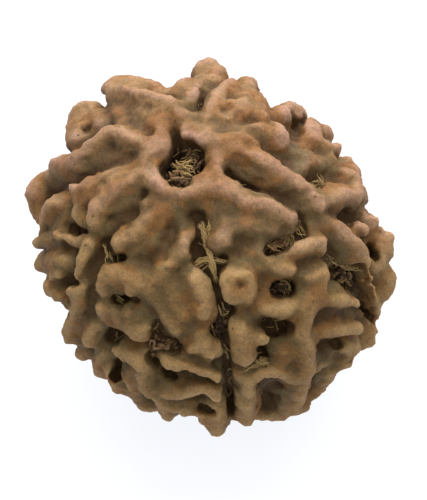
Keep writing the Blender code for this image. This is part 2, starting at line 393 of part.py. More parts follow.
def seen_point(right, up, distance):
    """Find the point at a distance from the seed's middle that shows at (right, up) in the view.

    The distance is less on the lower sides. A place outside it lies on the outline, where the depth
    is zero.
    """
    depth = 0.0
    for _ in range(10):
        near = 1.0 - depth / VIEW_DISTANCE
        spot = Vector((right * near, up * near, depth))
        reach = distance - low_side_loss(spot.normalized())
        depth = (depth + math.sqrt(max(reach ** 2 - spot.x ** 2 - spot.y ** 2, 0.0))) / 2.0
    return view_to_seed(spot)


def stalk_frame():
    """Give the stalk axis, straight down from it and across it, in view coordinates."""
    down = Vector((0.0, -1.0, 0.0))
    down = (down - STALK_AXIS * down.dot(STALK_AXIS)).normalized()
    return STALK_AXIS, down, STALK_AXIS.cross(down)


def polar_direction(turn, fall):
    """Give the view direction that lies at a fall from the stalk end and a turn about it."""
    axis, down, across = stalk_frame()
    turn = math.radians(turn)
    fall = math.radians(fall)
    side = down * math.cos(turn) + across * math.sin(turn)
    return axis * math.cos(fall) + side * math.sin(fall)


def far_point(turn, fall, radius, lift):
    """Place a roll's axis on the far side, kept low enough not to fill the outline's notches."""
    direction = polar_direction(turn, fall)
    loss = low_side_loss(direction)
    reach = CREST_RADIUS + lift - loss
    reach = min(reach, math.sqrt((NOTCH_RADIUS - loss) ** 2 + (direction.z * reach) ** 2))
    return view_to_seed(direction * (reach - radius))


def with_feet(roll):
    """Stand a roll on wider ones below it, until it meets the core, so that it has shoulders."""
    rolls = [roll]
    while any(place.length - radius > CORE_RADIUS - DEEPEST_LOSS - FOOT_SINK for place, radius in roll):
        roll = [(place.normalized() * (place.length - radius * FOOT_DROP),
                 radius * (FOOT_SPREAD if radius > BLADE_RADIUS else 1.0))
                for place, radius in roll]
        rolls.append(roll)
    return rolls


def front_rolls():
    """Turn the hand-laid ridges into rolls: lists of (place, radius)."""
    rolls = []
    for ridges in FACE_RIDGES.values():
        for ridge in ridges:
            rolls += with_feet([(seen_point(right, up, CREST_RADIUS + lift - radius), radius)
                                for right, up, radius, lift in ridge])
    return rolls


def is_far(turn, fall):
    """Tell whether a place lies behind the outline of the layout view."""
    return polar_direction(turn, fall).z * CREST_RADIUS < FAR_SIDE_DEPTH


def face_spans():
    """Give each face's first turn and its width in degrees."""
    following = GROOVE_TURNS[1:] + [GROOVE_TURNS[0] + 360.0]
    return [(start, end - start) for start, end in zip(GROOVE_TURNS, following)]


def face_share(place, start, width):
    """Give a place as its share of a face's width and its fall from the stalk end."""
    up = view_to_seed(Vector((0.0, 1.0, 0.0)))
    toward = view_to_seed(Vector((0.0, 0.0, 1.0)))
    direction = Vector((place.x, place.dot(up), place.dot(toward))).normalized()
    axis, down, across = stalk_frame()
    turn = math.degrees(math.atan2(direction.dot(across), direction.dot(down)))
    fall = math.degrees(math.acos(direction.dot(axis)))
    return ((turn - start + 180.0) % 360.0 - 180.0) / width, fall


def face_samples(name, start, width):
    """Give a hand-laid face's rolls, with each point as (share, fall, radius, lift)."""
    return [[(*face_share(seen_point(right, up, CREST_RADIUS + lift - radius), start, width), radius, lift)
             for right, up, radius, lift in ridge] for ridge in FACE_RIDGES[name]]


def face_pits(start, width):
    """Give the pits that lie in a hand-laid face, with each point as (share, fall, radius, floor)."""
    pits = []
    for pit in FRONT_PITS:
        samples = [(*face_share(seen_point(right, up, MOUTH_RADIUS), start, width), radius, floor)
                   for right, up, radius, floor in pit]
        if all(EDGE_SHARE < share < 1.0 - EDGE_SHARE and fall > NEAREST_PIT_FALL
               for share, fall, _, _ in samples):
            pits.append(samples)
    return pits


def moved_point(sample, span, flipped, reflected, shift):
    """Move a face's point to another face's span, as (turn, fall), or to nowhere if it isn't far."""
    share, fall = sample[:2]
    share = min(max(share, EDGE_SHARE), 1.0 - EDGE_SHARE)
    if flipped:
        share = 1.0 - share
    fall = 180.0 - fall if reflected else fall + shift
    turn = span[0] + share * span[1]
    if (fall > FAR_SEAM) != reflected or not is_far(turn, fall):
        return None
    return turn, fall


def far_rolls_and_pits(rng):
    """Lay the far side's ridges and pits by rule from the two hand-laid front faces."""
    rolls = []
    pits = []
    for index, span in enumerate(face_spans()):
        name, start, width = COPIED_FACES[index % 2]
        thickness = math.sqrt(span[1] / width)
        shift = rng.uniform(-FACE_SHIFT, FACE_SHIFT)
        for reflected in (False, True):
            flipped = (index // 2 + reflected) % 2 == 1
            for samples in face_samples(name, start, width):
                roll = []
                for sample in samples:
                    spot = moved_point(sample, span, flipped, reflected, shift)
                    if spot:
                        radius = sample[2] * thickness
                        roll.append((far_point(*spot, radius, sample[3]), radius))
                if roll:
                    rolls += with_feet(roll)
            for samples in face_pits(start, width):
                spots = [moved_point(sample, span, flipped, reflected, shift) for sample in samples]
                if all(spots):
                    pits.append([(view_to_seed(polar_direction(*spot)), sample[2], sample[3])
                                 for spot, sample in zip(spots, samples)])
        crest = []
        fall = FIRST_FALL
        while fall < LAST_FALL:
            turn = span[0] + span[1] * (0.5 + CREST_WAVE * math.sin(index * 1.7 + fall * 0.08))
            if is_far(turn, fall):
                crest.append((far_point(turn, fall, 0.8, -0.45), 0.8))
            fall += CREST_STEP
        if len(crest) > 1:
            rolls += with_feet(crest)
    return rolls, pits


def rest_knobs():
    """Stand three low knobs round the seed's weight, which the rest trim wears flat."""
    height = SEED_MIDDLE[2] - REST_KNOB_RADIUS + REST_KNOB_WEAR
    knobs = []
    for degrees in REST_KNOB_TURNS:
        turn = math.radians(degrees)
        place = Vector((REST_KNOB_OFFSET * math.cos(turn), REST_KNOB_OFFSET * math.sin(turn), -height))
        knobs += with_feet([(place, REST_KNOB_RADIUS)])
    return knobs


def cutting_roll(foot, heading, radius):
    """Make a roll that stands on a hollow's floor and flares outwards along its heading."""
    slope = foot.normalized().dot(heading)
    lip = (LIP_RADIUS - foot.length) / slope
    reach = (CUTTER_REACH - foot.length) / slope
    return [(foot + heading * radius * 0.8, radius * 0.8),
            (foot + heading * max(lip, radius), radius),
            (foot + heading * max(reach, radius * 2.0), radius * 1.3)]


def cutters_along(path, spacing):
    """Stand cutting rolls side by side along a path of (foot, heading, radius)."""
    cutters = []
    for (start, start_heading, start_radius), (end, end_heading, end_radius) in zip(path, path[1:]):
        gap = max((end - start).length, (end_heading - start_heading).length * LIP_RADIUS)
        steps = max(1, round(gap / spacing))
        for step in range(steps):
            share = step / steps
            heading = start_heading.lerp(end_heading, share).normalized()
            radius = start_radius + (end_radius - start_radius) * share
            cutters.append(cutting_roll(start.lerp(end, share), heading, radius))
    cutters.append(cutting_roll(*path[-1]))
    return cutters


def smooth_path(path, rounds=2):
    """Round the corners of a path of (foot, heading, radius) by cutting them."""
    for _ in range(rounds):
        rounded = [path[0]]
        for first, second in zip(path, path[1:]):
            for share in (0.25, 0.75):
                rounded.append((first[0].lerp(second[0], share),
                                first[1].lerp(second[1], share).normalized(),
                                first[2] + (second[2] - first[2]) * share))
        rounded.append(path[-1])
        path = rounded
    return path


def seen_cut(right, up, radius, floor, lean):
    """Place a cutting roll whose mouth is seen at (right, up), and lean it toward the viewer."""
    mouth = seen_point(right, up, MOUTH_RADIUS)
    toward = view_to_seed(Vector((0.0, 0.0, 1.0)))
    heading = mouth.normalized().lerp(toward, lean).normalized()
    foot = mouth - heading * (mouth.length - floor) / mouth.normalized().dot(heading)
    return foot, heading, radius


def front_cutters():
    """Make the cutters for the hand-laid grooves, pits and the stalk-end hole."""
    cutters = []
    for half_width, floor, groove in FRONT_GROOVES:
        path = [seen_cut(right, up, half_width, floor, GROOVE_LEAN) for right, up in groove]
        cutters += cutters_along(smooth_path(path), half_width)
    for pit in FRONT_PITS + HOLE_PITS:
        path = [seen_cut(right, up, radius, floor, PIT_LEAN) for right, up, radius, floor in pit]
        spacing = min(entry[2] for entry in path) * 0.7
        cutters += cutters_along(smooth_path(path), spacing)
    return cutters


def far_cutters(pits):
    """Make the cutters for the far side's grooves and pits."""
    cutters = []
    for index, turn in enumerate(GROOVE_TURNS):
        path = []
        fall = FIRST_FALL
        while fall < LAST_FALL:
            wavy = turn + 2.2 * math.sin(index * 2.0 + fall * 0.09)
            if is_far(wavy, fall):
                direction = view_to_seed(polar_direction(wavy, fall))
                path.append((direction * GROOVE_FLOOR, direction, GROOVE_HALF_WIDTH))
            fall += 4.0
        if len(path) > 1:
            cutters += cutters_along(path, GROOVE_HALF_WIDTH)
    for pit in pits:
        path = [(direction * floor, direction, radius) for direction, radius, floor in pit]
        cutters += cutters_along(path, min(entry[2] for entry in path) * 0.7)
    return cutters


def flowing_points(roll):
    """Lay more points between a roll's own on a smooth curve through them."""
    if len(roll) < 3:
        return list(roll)
    places = [place for place, _ in roll]
    ends = [places[0] * 2.0 - places[1]] + places + [places[-1] * 2.0 - places[-2]]
    flowing = []
    for index in range(len(roll) - 1):
        before, start, end, after = ends[index:index + 4]
        for step in range(CURVE_STEPS):
            share = step / CURVE_STEPS
            bend = (before * -share * (1.0 - share) ** 2
                    + start * (2.0 - 5.0 * share ** 2 + 3.0 * share ** 3)
                    + end * share * (1.0 + 4.0 * share - 3.0 * share ** 2)
                    - after * share ** 2 * (1.0 - share)) * 0.5
            radius = roll[index][1] + (roll[index + 1][1] - roll[index][1]) * share
            flowing.append((bend, radius))
    flowing.append(roll[-1])
    return flowing


def round_ended(roll):
    """Close both ends of a roll with half a ball."""
    if len(roll) == 1:
        place, radius = roll[0]
        nudge = place.normalized() * 0.01
        roll = [(place - nudge, radius), (place + nudge, radius)]
    points = flowing_points(roll)
    for _ in range(2):
        (place, radius), (neighbour, _) = points[-1], points[-2]
        heading = (place - neighbour).normalized()
        for degrees in CAP_ANGLES:
            angle = math.radians(degrees)
            points.append((place + heading * radius * math.sin(angle), radius * math.cos(angle)))
        points.reverse()
    return points


def rolls_to_mesh(name, rolls, core_radius=0.0):
    """Make one mesh of overlapping rolls, as bevelled curves, round an optional core ball."""
    curve = bpy.data.curves.new(name + "_rolls", "CURVE")
    curve.dimensions = "3D"
    curve.bevel_depth = MM
    curve.bevel_resolution = 3
    curve.use_fill_caps = True
    for roll in rolls:
        points = round_ended(roll)
        spline = curve.splines.new("POLY")
        spline.points.add(len(points) - 1)
        for point, (place, radius) in zip(spline.points, points):
            point.co = (*(place * MM), 1.0)
            point.radius = radius
    guide = bpy.data.objects.new(name + "_rolls", curve)
    bpy.context.scene.collection.objects.link(guide)
    bpy.context.view_layer.update()
    tubes = bpy.data.meshes.new_from_object(guide.evaluated_get(bpy.context.evaluated_depsgraph_get()))
    bpy.data.objects.remove(guide, do_unlink=True)

    shape = bmesh.new()
    shape.from_mesh(tubes)
    if core_radius:
        core = bmesh.ops.create_icosphere(shape, subdivisions=5, radius=core_radius)
        for vertex in core["verts"]:
            direction = vertex.co.normalized()
            vertex.co = view_to_seed(direction * (core_radius - low_side_loss(direction))) * MM
    bmesh.ops.remove_doubles(shape, verts=shape.verts, dist=WELD_GAP)
    mesh = bpy.data.meshes.new(name)
    shape.to_mesh(mesh)
    shape.free()
    return mesh


def add_remesh(item, name, voxel):
    """Fuse an object's overlapping shells on a grid."""
    remesh = item.modifiers.new(name, "REMESH")
    remesh.mode = "VOXEL"
    remesh.voxel_size = voxel * MM
    remesh.adaptivity = 0.0
    remesh.use_smooth_shade = True


def add_smooth(item, name, rounds):
    """Soften an object's creases."""
    smooth = item.modifiers.new(name, "SMOOTH")
    smooth.factor = 0.5
    smooth.iterations = rounds


def add_decimate(item, name, ratio):
    """Thin an object's triangles, keeping its form."""
    decimate = item.modifiers.new(name, "DECIMATE")
    decimate.ratio = ratio
    decimate.use_collapse_triangulate = True


def add_cut(item, name, cutter, solver):
    """Cut a hidden cutter out of an object."""
    cut = item.modifiers.new(name, "BOOLEAN")
    cut.operation = "DIFFERENCE"
    cut.solver = solver
    cut.object = cutter


def hidden_cutter(name, mesh, collection):
    """Place a cutter that shows only as a wire."""
    cutter = bpy.data.objects.new(name, mesh)
    cutter.location = Vector(SEED_MIDDLE) * MM
    cutter.hide_render = True
    cutter.display_type = "WIRE"
    collection.objects.link(cutter)
    return cutter


def build_stone(collection, cutters):
    """Build the seed's woody stone."""
    rng = random.Random(FAR_SIDE_SEED)
    far_rolls, far_pits = far_rolls_and_pits(rng)
    mesh = rolls_to_mesh("seed_stone", front_rolls() + far_rolls + rest_knobs(), CORE_RADIUS)
    stone = bpy.data.objects.new("seed_stone", mesh)
    stone.location = Vector(SEED_MIDDLE) * MM
    collection.objects.link(stone)
    mesh.materials.append(plain_material("dried_stone", STONE_BROWN, 0.75))

    hollows = rolls_to_mesh("grooves_and_pits", front_cutters() + far_cutters(far_pits))
    hollow_cutter = hidden_cutter("grooves_and_pits", hollows, cutters)
    add_remesh(hollow_cutter, "fuse", CLAY_VOXEL)
    add_smooth(hollow_cutter, "soften", CUTTER_SMOOTH_ROUNDS)

    side = REST_TRIM_SIDE * MM
    bpy.ops.mesh.primitive_cube_add(size=1.0, location=(0.0, 0.0, -REST_TRIM_DEPTH * MM / 2.0))
    trim = bpy.context.active_object
    trim.name = "rest_trim"
    trim.scale = (side, side, REST_TRIM_DEPTH * MM)
    trim.hide_render = True
    trim.display_type = "WIRE"
    for holder in list(trim.users_collection):
        holder.objects.unlink(trim)
    cutters.objects.link(trim)

    add_remesh(stone, "fuse", CLAY_VOXEL)
    add_cut(stone, "hollows", hollow_cutter, "MANIFOLD")
    add_remesh(stone, "fuse again", CLAY_VOXEL)
    add_smooth(stone, "soften", SMOOTH_ROUNDS)
    add_decimate(stone, "thin", STONE_TRIANGLES_KEPT)
    add_cut(stone, "rest spots", trim, "EXACT")
    return stone


def build_fibres(collection):
    """Build the tuft of dried fibre that sits in the stalk-end hole."""
    rolls = [[(seen_point(right, up, distance), radius) for right, up, radius, distance in strand]
             for strand in FIBRE_STRANDS]
    mesh = rolls_to_mesh("stalk_hole_fibres", rolls)
    fibres = bpy.data.objects.new("stalk_hole_fibres", mesh)
    fibres.location = Vector(SEED_MIDDLE) * MM
    collection.objects.link(fibres)
    mesh.materials.append(plain_material("dried_fibre", FIBRE_STRAW, 0.85))
    add_remesh(fibres, "fuse", FIBRE_VOXEL)
    add_smooth(fibres, "soften", FIBRE_SMOOTH_ROUNDS)
    add_decimate(fibres, "thin", FIBRE_TRIANGLES_KEPT)
    return fibres


def main():
    """Build the seed and the fibre in its stalk-end hole."""
    clear_scene()
    parts = named_collection("rudraksha_seed")
    cutters = named_collection("cutters")
    build_stone(parts, cutters)
    build_fibres(parts)


main()
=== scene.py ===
"""The looks of a dried rudraksha seed: its knobbly woody stone, dry pulp fibres and a pale ground.

The stone is modelled as clay. Tapered rolls for the ridges, tongues and knobs stand on a round core
and are fused, and the grooves, caves and the stalk-end hole are cut out of them. Tables are in
millimetres: to the right of the seed's middle and above it, seen from the front and 50 degrees above.
"""
import logging
import math
import random
from dataclasses import dataclass, field
from enum import Enum

import bmesh
import bpy
import numpy as np
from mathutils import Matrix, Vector

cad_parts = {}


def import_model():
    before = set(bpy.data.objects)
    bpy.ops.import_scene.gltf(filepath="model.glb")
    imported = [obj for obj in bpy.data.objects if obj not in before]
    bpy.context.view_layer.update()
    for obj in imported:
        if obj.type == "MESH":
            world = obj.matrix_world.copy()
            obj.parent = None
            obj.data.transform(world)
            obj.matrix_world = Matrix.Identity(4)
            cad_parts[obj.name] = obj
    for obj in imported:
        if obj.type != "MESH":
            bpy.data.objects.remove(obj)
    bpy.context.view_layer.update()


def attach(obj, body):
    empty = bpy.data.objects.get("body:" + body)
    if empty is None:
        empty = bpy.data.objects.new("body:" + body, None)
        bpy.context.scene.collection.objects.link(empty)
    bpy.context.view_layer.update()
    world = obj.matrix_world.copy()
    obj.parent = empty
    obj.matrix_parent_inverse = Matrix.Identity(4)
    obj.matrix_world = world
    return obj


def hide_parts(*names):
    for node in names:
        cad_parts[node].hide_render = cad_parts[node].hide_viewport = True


MM = 0.001
WELD_GAP = 1e-6
Roll = list[tuple[Vector, float]]
Cut = tuple[Vector, Vector, float]
Socket = bpy.types.NodeSocket
log = logging.getLogger("rudraksha")

# The seed's own radii in millimetres from its middle, the shares that shape its ridges and hollows,
# and the cutters' foot, flare, least length and spacing as shares of their half width
CREST_RADIUS = 13.0
CORE_RADIUS = 11.3
GROOVE_FLOOR = 10.3
GROOVE_HALF_WIDTH = 0.38
LIP_RADIUS = 12.6
MOUTH_RADIUS = 12.2
GROOVE_LEAN = 0.30
PIT_LEAN = 0.55
CUTTER_REACH = 14.6
CUTTER_FOOT = 0.8
CUTTER_FLARE = 1.3
CUTTER_SHORTEST = 2.0
CUTTER_SPACING = 0.7
FOOT_DROP = 0.75
BLADE_RADIUS = 0.45
FOOT_SPREAD = 1.45
FOOT_WIDEST = 1.3
CREST_NARROWING = 0.88
CREST_RISE = 0.13
WEB_DEEPENING = 1.6
PIT_FILLING = 0.15
GROOVE_FILLING = 0.3
FOOT_SINK = 0.3

# Where the seed's middle stands, and the low knobs that it rests on, in millimetres and degrees
SEED_MIDDLE = (0.13, 0.13, 12.55)
REST_KNOB_TURNS = (60.0, 195.0, 290.0)
REST_KNOB_OFFSET = 4.0
REST_KNOB_RADIUS = 1.45
REST_KNOB_WEAR = 0.35

# The stalk end in the layout view, and the turn of each groove about it from straight down, in degrees
STALK_AXIS = (-0.140, 0.436, 0.889)
GROOVE_TURNS = [14.0, 70.0, 125.0, 173.0, 225.0, 266.0, 315.0]

# Fineness of the rolls, the core and the fused body, in millimetres and degrees
CURVE_STEPS = 3
CORNER_SHARES = (0.25, 0.75)
ROLL_RESOLUTION = 3
BALL_NUDGE = 0.01
CORE_SUBDIVISIONS = 5
SIGHT_ROUNDS = 10
CAP_ANGLES = (25.0, 50.0, 70.0, 84.0)
CUTTER_SMOOTH_ROUNDS = 2

# What a noise pattern is multiplied by to swing about one each way, what keeps the random numbers of
# guides and strands apart, and the hairs' own seeds
NOISE_SWING = 4.0
GUIDE_STRIDE = 37.0
STRAND_STRIDE = 91.7
TURN_SEED = 5
LENGTH_SEED = 9
SHADE_SEED = 3

# Straw, bleached and brown of the dried crumbs
CRUMB_COLOURS = ((0.155, 0.085, 0.038, 1.0), (0.30, 0.19, 0.095, 1.0), (0.046, 0.027, 0.015, 1.0))

# Each roll of clay is a list of (right, up, half width, height of its top over the crest radius)
FACE_RIDGES = {
    "shoulder round the stalk-end hole": [
        [(-4.1, 6.6, 0.9, -0.1), (-4.6, 5.6, 1.1, 0.0), (-4.0, 4.6, 1.0, 0.05), (-3.2, 3.6, 0.9, 0.0)],
        [(-3.2, 3.6, 0.8, -0.1), (-2.3, 3.7, 0.7, -0.05), (-1.4, 3.9, 0.8, 0.0), (-0.2, 4.2, 1.0, 0.1)],
        [(0.6, 4.6, 0.8, 0.0), (0.5, 5.6, 0.8, -0.1), (0.6, 6.8, 0.9, 0.0), (0.0, 7.9, 0.8, 0.0)],
        [(-1.7, 8.6, 0.6, -0.1), (-1.0, 8.4, 0.6, -0.1), (-0.1, 8.0, 0.7, 0.0)],
        [(-1.8, 7.95, 0.5, -0.15), (-1.2, 7.8, 0.55, -0.1), (-0.4, 7.5, 0.6, -0.05)],
        [(-4.2, 6.6, 0.8, -0.05), (-4.0, 7.4, 0.7, 0.0)],
    ],
    "broad wing to the right of the hole": [
        [(-0.6, 4.1, 0.9, 0.05), (0.8, 4.0, 1.0, 0.2), (2.3, 3.1, 0.9, 0.15), (3.9, 2.8, 0.85, 0.1),
         (5.0, 2.3, 0.85, 0.0), (5.6, 2.0, 0.7, -0.05)],
        [(0.0, 3.0, 1.3, -0.35), (2.0, 2.5, 1.5, -0.25), (3.9, 1.9, 1.5, -0.2), (5.0, 1.75, 1.2, -0.25)],
        [(0.9, 0.55, 0.9, -0.1), (1.2, 1.3, 1.0, -0.15), (2.6, 1.5, 1.0, -0.15), (4.3, 1.2, 0.9, -0.25)],
    ],
    "face left of the front groove": [
        [(-3.2, 3.5, 1.0, -0.05), (-2.6, 2.8, 1.0, -0.3), (-2.3, 1.9, 0.9, -0.55)],
        [(-1.8, 0.6, 0.6, -0.35), (-1.9, -0.1, 0.62, -0.2), (-2.7, -1.0, 0.65, -0.2),
         (-3.6, -2.0, 0.7, -0.15), (-4.2, -2.8, 0.8, -0.2)],
        [(-3.3, 2.9, 0.8, -0.2), (-4.3, 2.1, 0.8, -0.1), (-5.2, 1.1, 0.9, 0.0), (-6.1, 0.45, 0.9, 0.05),
         (-6.4, 0.25, 0.8, 0.05)],
        [(-4.3, 0.5, 0.9, -0.3), (-5.4, -0.1, 0.8, -0.2)],
        [(-4.4, 3.0, 0.85, -0.15), (-3.6, 1.6, 0.9, -0.35), (-4.2, 0.9, 0.8, -0.4)],
        [(-7.4, -2.3, 0.95, 0.05), (-6.3, -2.1, 1.0, 0.15), (-5.0, -2.6, 1.0, 0.05),
         (-4.0, -3.1, 0.9, -0.15)],
        [(-7.5, -2.4, 0.9, 0.0), (-7.7, -3.0, 0.7, -0.05)],
        [(-5.9, -2.6, 0.8, 0.1), (-5.75, -3.0, 0.7, 0.1)],
        [(-7.75, -4.5, 0.72, -0.05), (-7.3, -5.1, 0.8, -0.25), (-6.2, -5.3, 0.9, -0.4)],
        [(-5.6, -4.9, 1.1, -0.2), (-5.6, -5.8, 1.0, -0.1), (-5.0, -6.0, 0.8, -0.1)],
        [(-6.8, -4.8, 0.9, -0.15), (-6.4, -5.3, 0.9, -0.15)],
        [(-4.9, -4.3, 0.8, -0.45), (-4.7, -5.2, 0.8, -0.35)],
        [(-2.9, -2.9, 1.0, -0.25), (-2.5, -3.9, 1.0, -0.15), (-2.0, -5.0, 0.9, -0.15)],
        [(-8.1, -5.6, 0.6, -0.2), (-8.7, -6.2, 0.62, 0.0), (-8.75, -6.8, 0.6, 0.05)],
        [(-7.0, -7.3, 0.5, -0.25), (-6.2, -7.7, 0.55, -0.15), (-5.4, -8.1, 0.6, 0.0),
         (-5.0, -8.8, 0.6, 0.05), (-4.9, -9.7, 0.65, 0.05), (-4.3, -10.5, 0.7, 0.05),
         (-3.6, -11.1, 0.7, 0.1), (-3.1, -12.0, 0.7, 0.2)],
        [(-7.7, -7.7, 0.7, -0.15), (-8.0, -8.4, 0.72, 0.05), (-7.9, -9.0, 0.68, 0.1)],
        [(-5.5, -9.0, 0.7, -0.2), (-5.5, -9.9, 0.75, -0.1), (-5.2, -10.7, 0.9, 0.0),
         (-4.3, -11.3, 0.9, 0.1)],
        [(-7.3, -9.0, 0.65, 0.15), (-6.7, -9.8, 0.75, 0.15), (-6.1, -10.4, 0.7, 0.1)],
        [(-2.0, -2.6, 0.8, -0.35), (-1.6, -3.6, 0.9, -0.25), (-1.4, -4.6, 0.9, -0.25)],
        [(-4.1, -3.4, 0.9, -0.2), (-3.3, -4.3, 1.0, -0.1), (-2.8, -5.2, 0.9, -0.1),
         (-2.4, -5.9, 0.7, -0.1)],
        [(-1.2, -2.4, 0.6, -0.1), (-0.85, -3.2, 0.68, 0.0), (-0.6, -4.2, 0.7, 0.05),
         (-0.6, -4.8, 0.6, 0.0)],
        [(-0.9, -6.2, 0.6, -0.15), (-0.7, -7.0, 0.8, 0.0), (-0.1, -7.8, 0.68, 0.05)],
        [(-0.7, -7.2, 0.7, 0.0), (-1.15, -7.4, 0.6, 0.0)],
        [(-2.9, -8.5, 0.52, -0.05), (-1.6, -8.65, 0.5, 0.0), (-0.5, -9.1, 0.5, 0.0),
         (0.4, -9.6, 0.4, 0.05)],
        [(-3.3, -10.4, 0.8, -0.05), (-2.0, -10.4, 0.9, 0.0), (-0.6, -10.4, 0.5, 0.0),
         (0.45, -10.9, 0.4, 0.1)],
        [(-2.7, -11.3, 0.9, 0.1), (-1.9, -11.9, 0.65, 0.15)],
        [(0.3, -12.0, 0.6, 0.0), (0.35, -13.15, 0.66, 0.7)],
        [(-0.8, -12.1, 0.5, 0.0), (-0.5, -12.7, 0.4, 0.2)],
        [(1.3, -12.2, 0.7, 0.0)],
    ],
    "thin wall in the front groove": [
        [(0.75, -5.6, 0.25, -0.7), (0.8, -6.8, 0.25, -0.6), (0.85, -7.9, 0.25, -0.7)],
    ],
    "face right of the front groove": [
        [(1.98, -2.9, 1.3, 0.15)],
        [(1.2, -2.9, 0.66, 0.18), (1.6, -2.22, 0.66, 0.22), (2.35, -2.22, 0.66, 0.22),
         (2.75, -2.9, 0.68, 0.2), (2.4, -3.6, 0.68, 0.15), (1.55, -3.55, 0.66, 0.12),
         (1.2, -2.9, 0.66, 0.18)],
        [(2.2, -5.9, 0.72, 0.0), (2.3, -7.0, 0.8, 0.1), (2.45, -8.0, 0.72, 0.05)],
        [(2.9, -6.4, 0.7, -0.05), (3.7, -6.75, 0.5, -0.05)],
        [(2.9, -5.0, 0.7, -0.4), (3.4, -4.4, 0.7, -0.3)],
        [(2.6, -9.8, 0.6, 0.0), (2.7, -10.6, 0.5, 0.1)],
        [(2.6, -11.4, 0.6, 0.0), (2.55, -12.5, 0.65, 0.3)],
        [(3.0, -9.5, 0.45, -0.1), (4.0, -9.1, 0.5, -0.05), (5.2, -9.15, 0.5, -0.05),
         (6.0, -9.7, 0.6, 0.0)],
        [(5.5, -10.6, 0.6, -0.3), (5.6, -11.8, 0.7, 0.1)],
        [(3.8, -2.5, 0.7, -0.5), (3.8, -3.5, 0.7, -0.45)],
        [(5.4, -7.5, 0.95, -0.25), (5.2, -8.4, 0.9, -0.25)],
        [(8.2, -4.95, 0.85, -0.5), (9.3, -5.0, 0.75, -0.65), (10.4, -5.1, 0.6, -0.8)],
        [(7.0, 1.4, 0.9, -0.45), (8.0, 1.1, 0.9, -0.4)],
        [(7.3, 2.1, 0.9, -0.4)],
        [(3.2, -1.6, 0.8, -0.35)],
        [(3.4, -12.2, 0.5, 0.0), (4.5, -12.2, 0.55, 0.1), (5.4, -12.1, 0.55, 0.1)],
        [(6.5, -11.5, 0.75, 0.3)],
        [(5.3, -0.7, 0.8, -0.3), (6.5, -0.15, 0.72, 0.0), (7.9, 0.1, 0.55, 0.1)],
        [(3.6, -1.1, 0.9, -0.3), (4.7, -1.6, 0.7, -0.1), (5.6, -1.6, 0.6, 0.0)],
        [(2.5, -0.65, 0.75, -0.45), (3.4, -0.5, 0.8, -0.4)],
        [(7.2, -2.2, 0.9, -0.05), (8.0, -2.05, 0.8, 0.05), (7.9, -2.9, 0.7, 0.0)],
        [(3.6, -4.4, 0.6, -0.1), (5.2, -4.5, 0.6, 0.0), (6.6, -4.3, 0.7, 0.0)],
        [(7.3, -3.5, 0.9, 0.0), (6.7, -4.9, 0.95, 0.05), (6.6, -6.4, 0.9, 0.1), (6.85, -7.7, 0.9, 0.15),
         (6.7, -9.1, 0.85, 0.15), (6.3, -10.5, 0.8, 0.1), (5.9, -11.8, 0.75, 0.2)],
        [(8.0, -3.7, 0.7, -0.05), (9.4, -3.9, 0.58, 0.0), (10.5, -4.2, 0.45, 0.05)],
        [(7.5, -6.3, 0.8, -0.1), (9.2, -6.0, 0.55, 0.0), (10.6, -6.0, 0.5, 0.1)],
        [(7.5, -8.7, 0.6, -0.15), (8.9, -8.1, 0.5, -0.3)],
        [(8.5, -9.0, 0.8, 0.1), (7.9, -9.8, 0.9, 0.2), (7.3, -10.6, 0.8, 0.15)],
        [(10.3, -7.35, 0.72, 0.3), (9.5, -7.3, 0.6, -0.1)],
        [(9.65, -8.4, 0.7, 0.36), (8.9, -8.6, 0.7, 0.0)],
    ],
    "face to the right, between two grooves": [
        [(1.0, 7.1, 0.7, 0.0), (2.5, 6.7, 0.7, 0.05), (4.5, 5.6, 0.75, 0.1), (6.2, 4.5, 0.75, 0.15),
         (7.2, 3.6, 0.75, 0.15), (7.7, 2.9, 0.75, 0.1)],
        [(0.5, 7.4, 0.8, 0.0), (2.0, 7.6, 0.7, 0.0), (3.0, 7.3, 0.6, -0.05)],
        [(1.5, 6.3, 0.8, -0.3), (2.4, 5.8, 0.8, -0.35), (3.5, 5.2, 0.75, -0.35), (4.7, 4.6, 0.75, -0.35),
         (6.0, 3.8, 0.7, -0.35), (7.0, 2.8, 0.7, -0.3)],
        [(6.3, 6.9, 0.7, -0.4), (7.4, 6.6, 0.8, -0.35), (8.6, 6.0, 0.75, -0.1)],
        [(8.2, 3.2, 0.65, 0.0), (9.3, 3.6, 0.7, 0.1), (10.3, 3.7, 0.72, 0.22)],
        [(9.4, 5.2, 0.7, 0.0), (10.1, 4.85, 0.7, 0.24), (10.4, 3.9, 0.8, 0.32)],
        [(8.0, 1.7, 0.9, -0.25), (9.1, 1.1, 0.85, 0.0), (10.0, 0.4, 0.8, 0.05), (10.6, -0.4, 0.75, 0.1),
         (11.2, -0.95, 0.6, 0.15)],
        [(9.8, 5.9, 0.65, 0.0), (10.35, 5.05, 0.65, 0.0), (10.6, 4.15, 0.6, -0.08),
         (10.7, 3.4, 0.6, -0.15)],
        [(10.3, 5.3, 0.6, 0.0), (10.5, 5.1, 0.62, -0.4)],
        [(10.75, 3.7, 0.6, -0.1), (10.85, 3.7, 0.62, -0.5)],
        [(10.3, 1.5, 0.5, -0.3), (11.1, 1.0, 0.4, -0.1)],
        [(10.5, 2.6, 0.5, -0.5), (11.1, 2.0, 0.5, -0.2), (11.65, 1.75, 0.62, 0.12)],
        [(12.4, 0.4, 0.95, 0.62), (12.5, -0.3, 0.9, 0.6)],
        [(12.6, -2.2, 0.95, 0.72), (12.4, -3.1, 1.0, 0.65)],
        [(12.15, -0.6, 0.7, 0.2), (12.2, -1.5, 0.7, 0.25)],
        [(11.2, -1.6, 0.4, 0.0), (11.5, -2.8, 0.4, 0.0), (11.9, -4.2, 0.5, 0.1), (11.8, -5.0, 0.55, 0.1)],
        [(11.55, -6.2, 0.68, 0.4), (11.4, -6.8, 0.65, 0.4)],
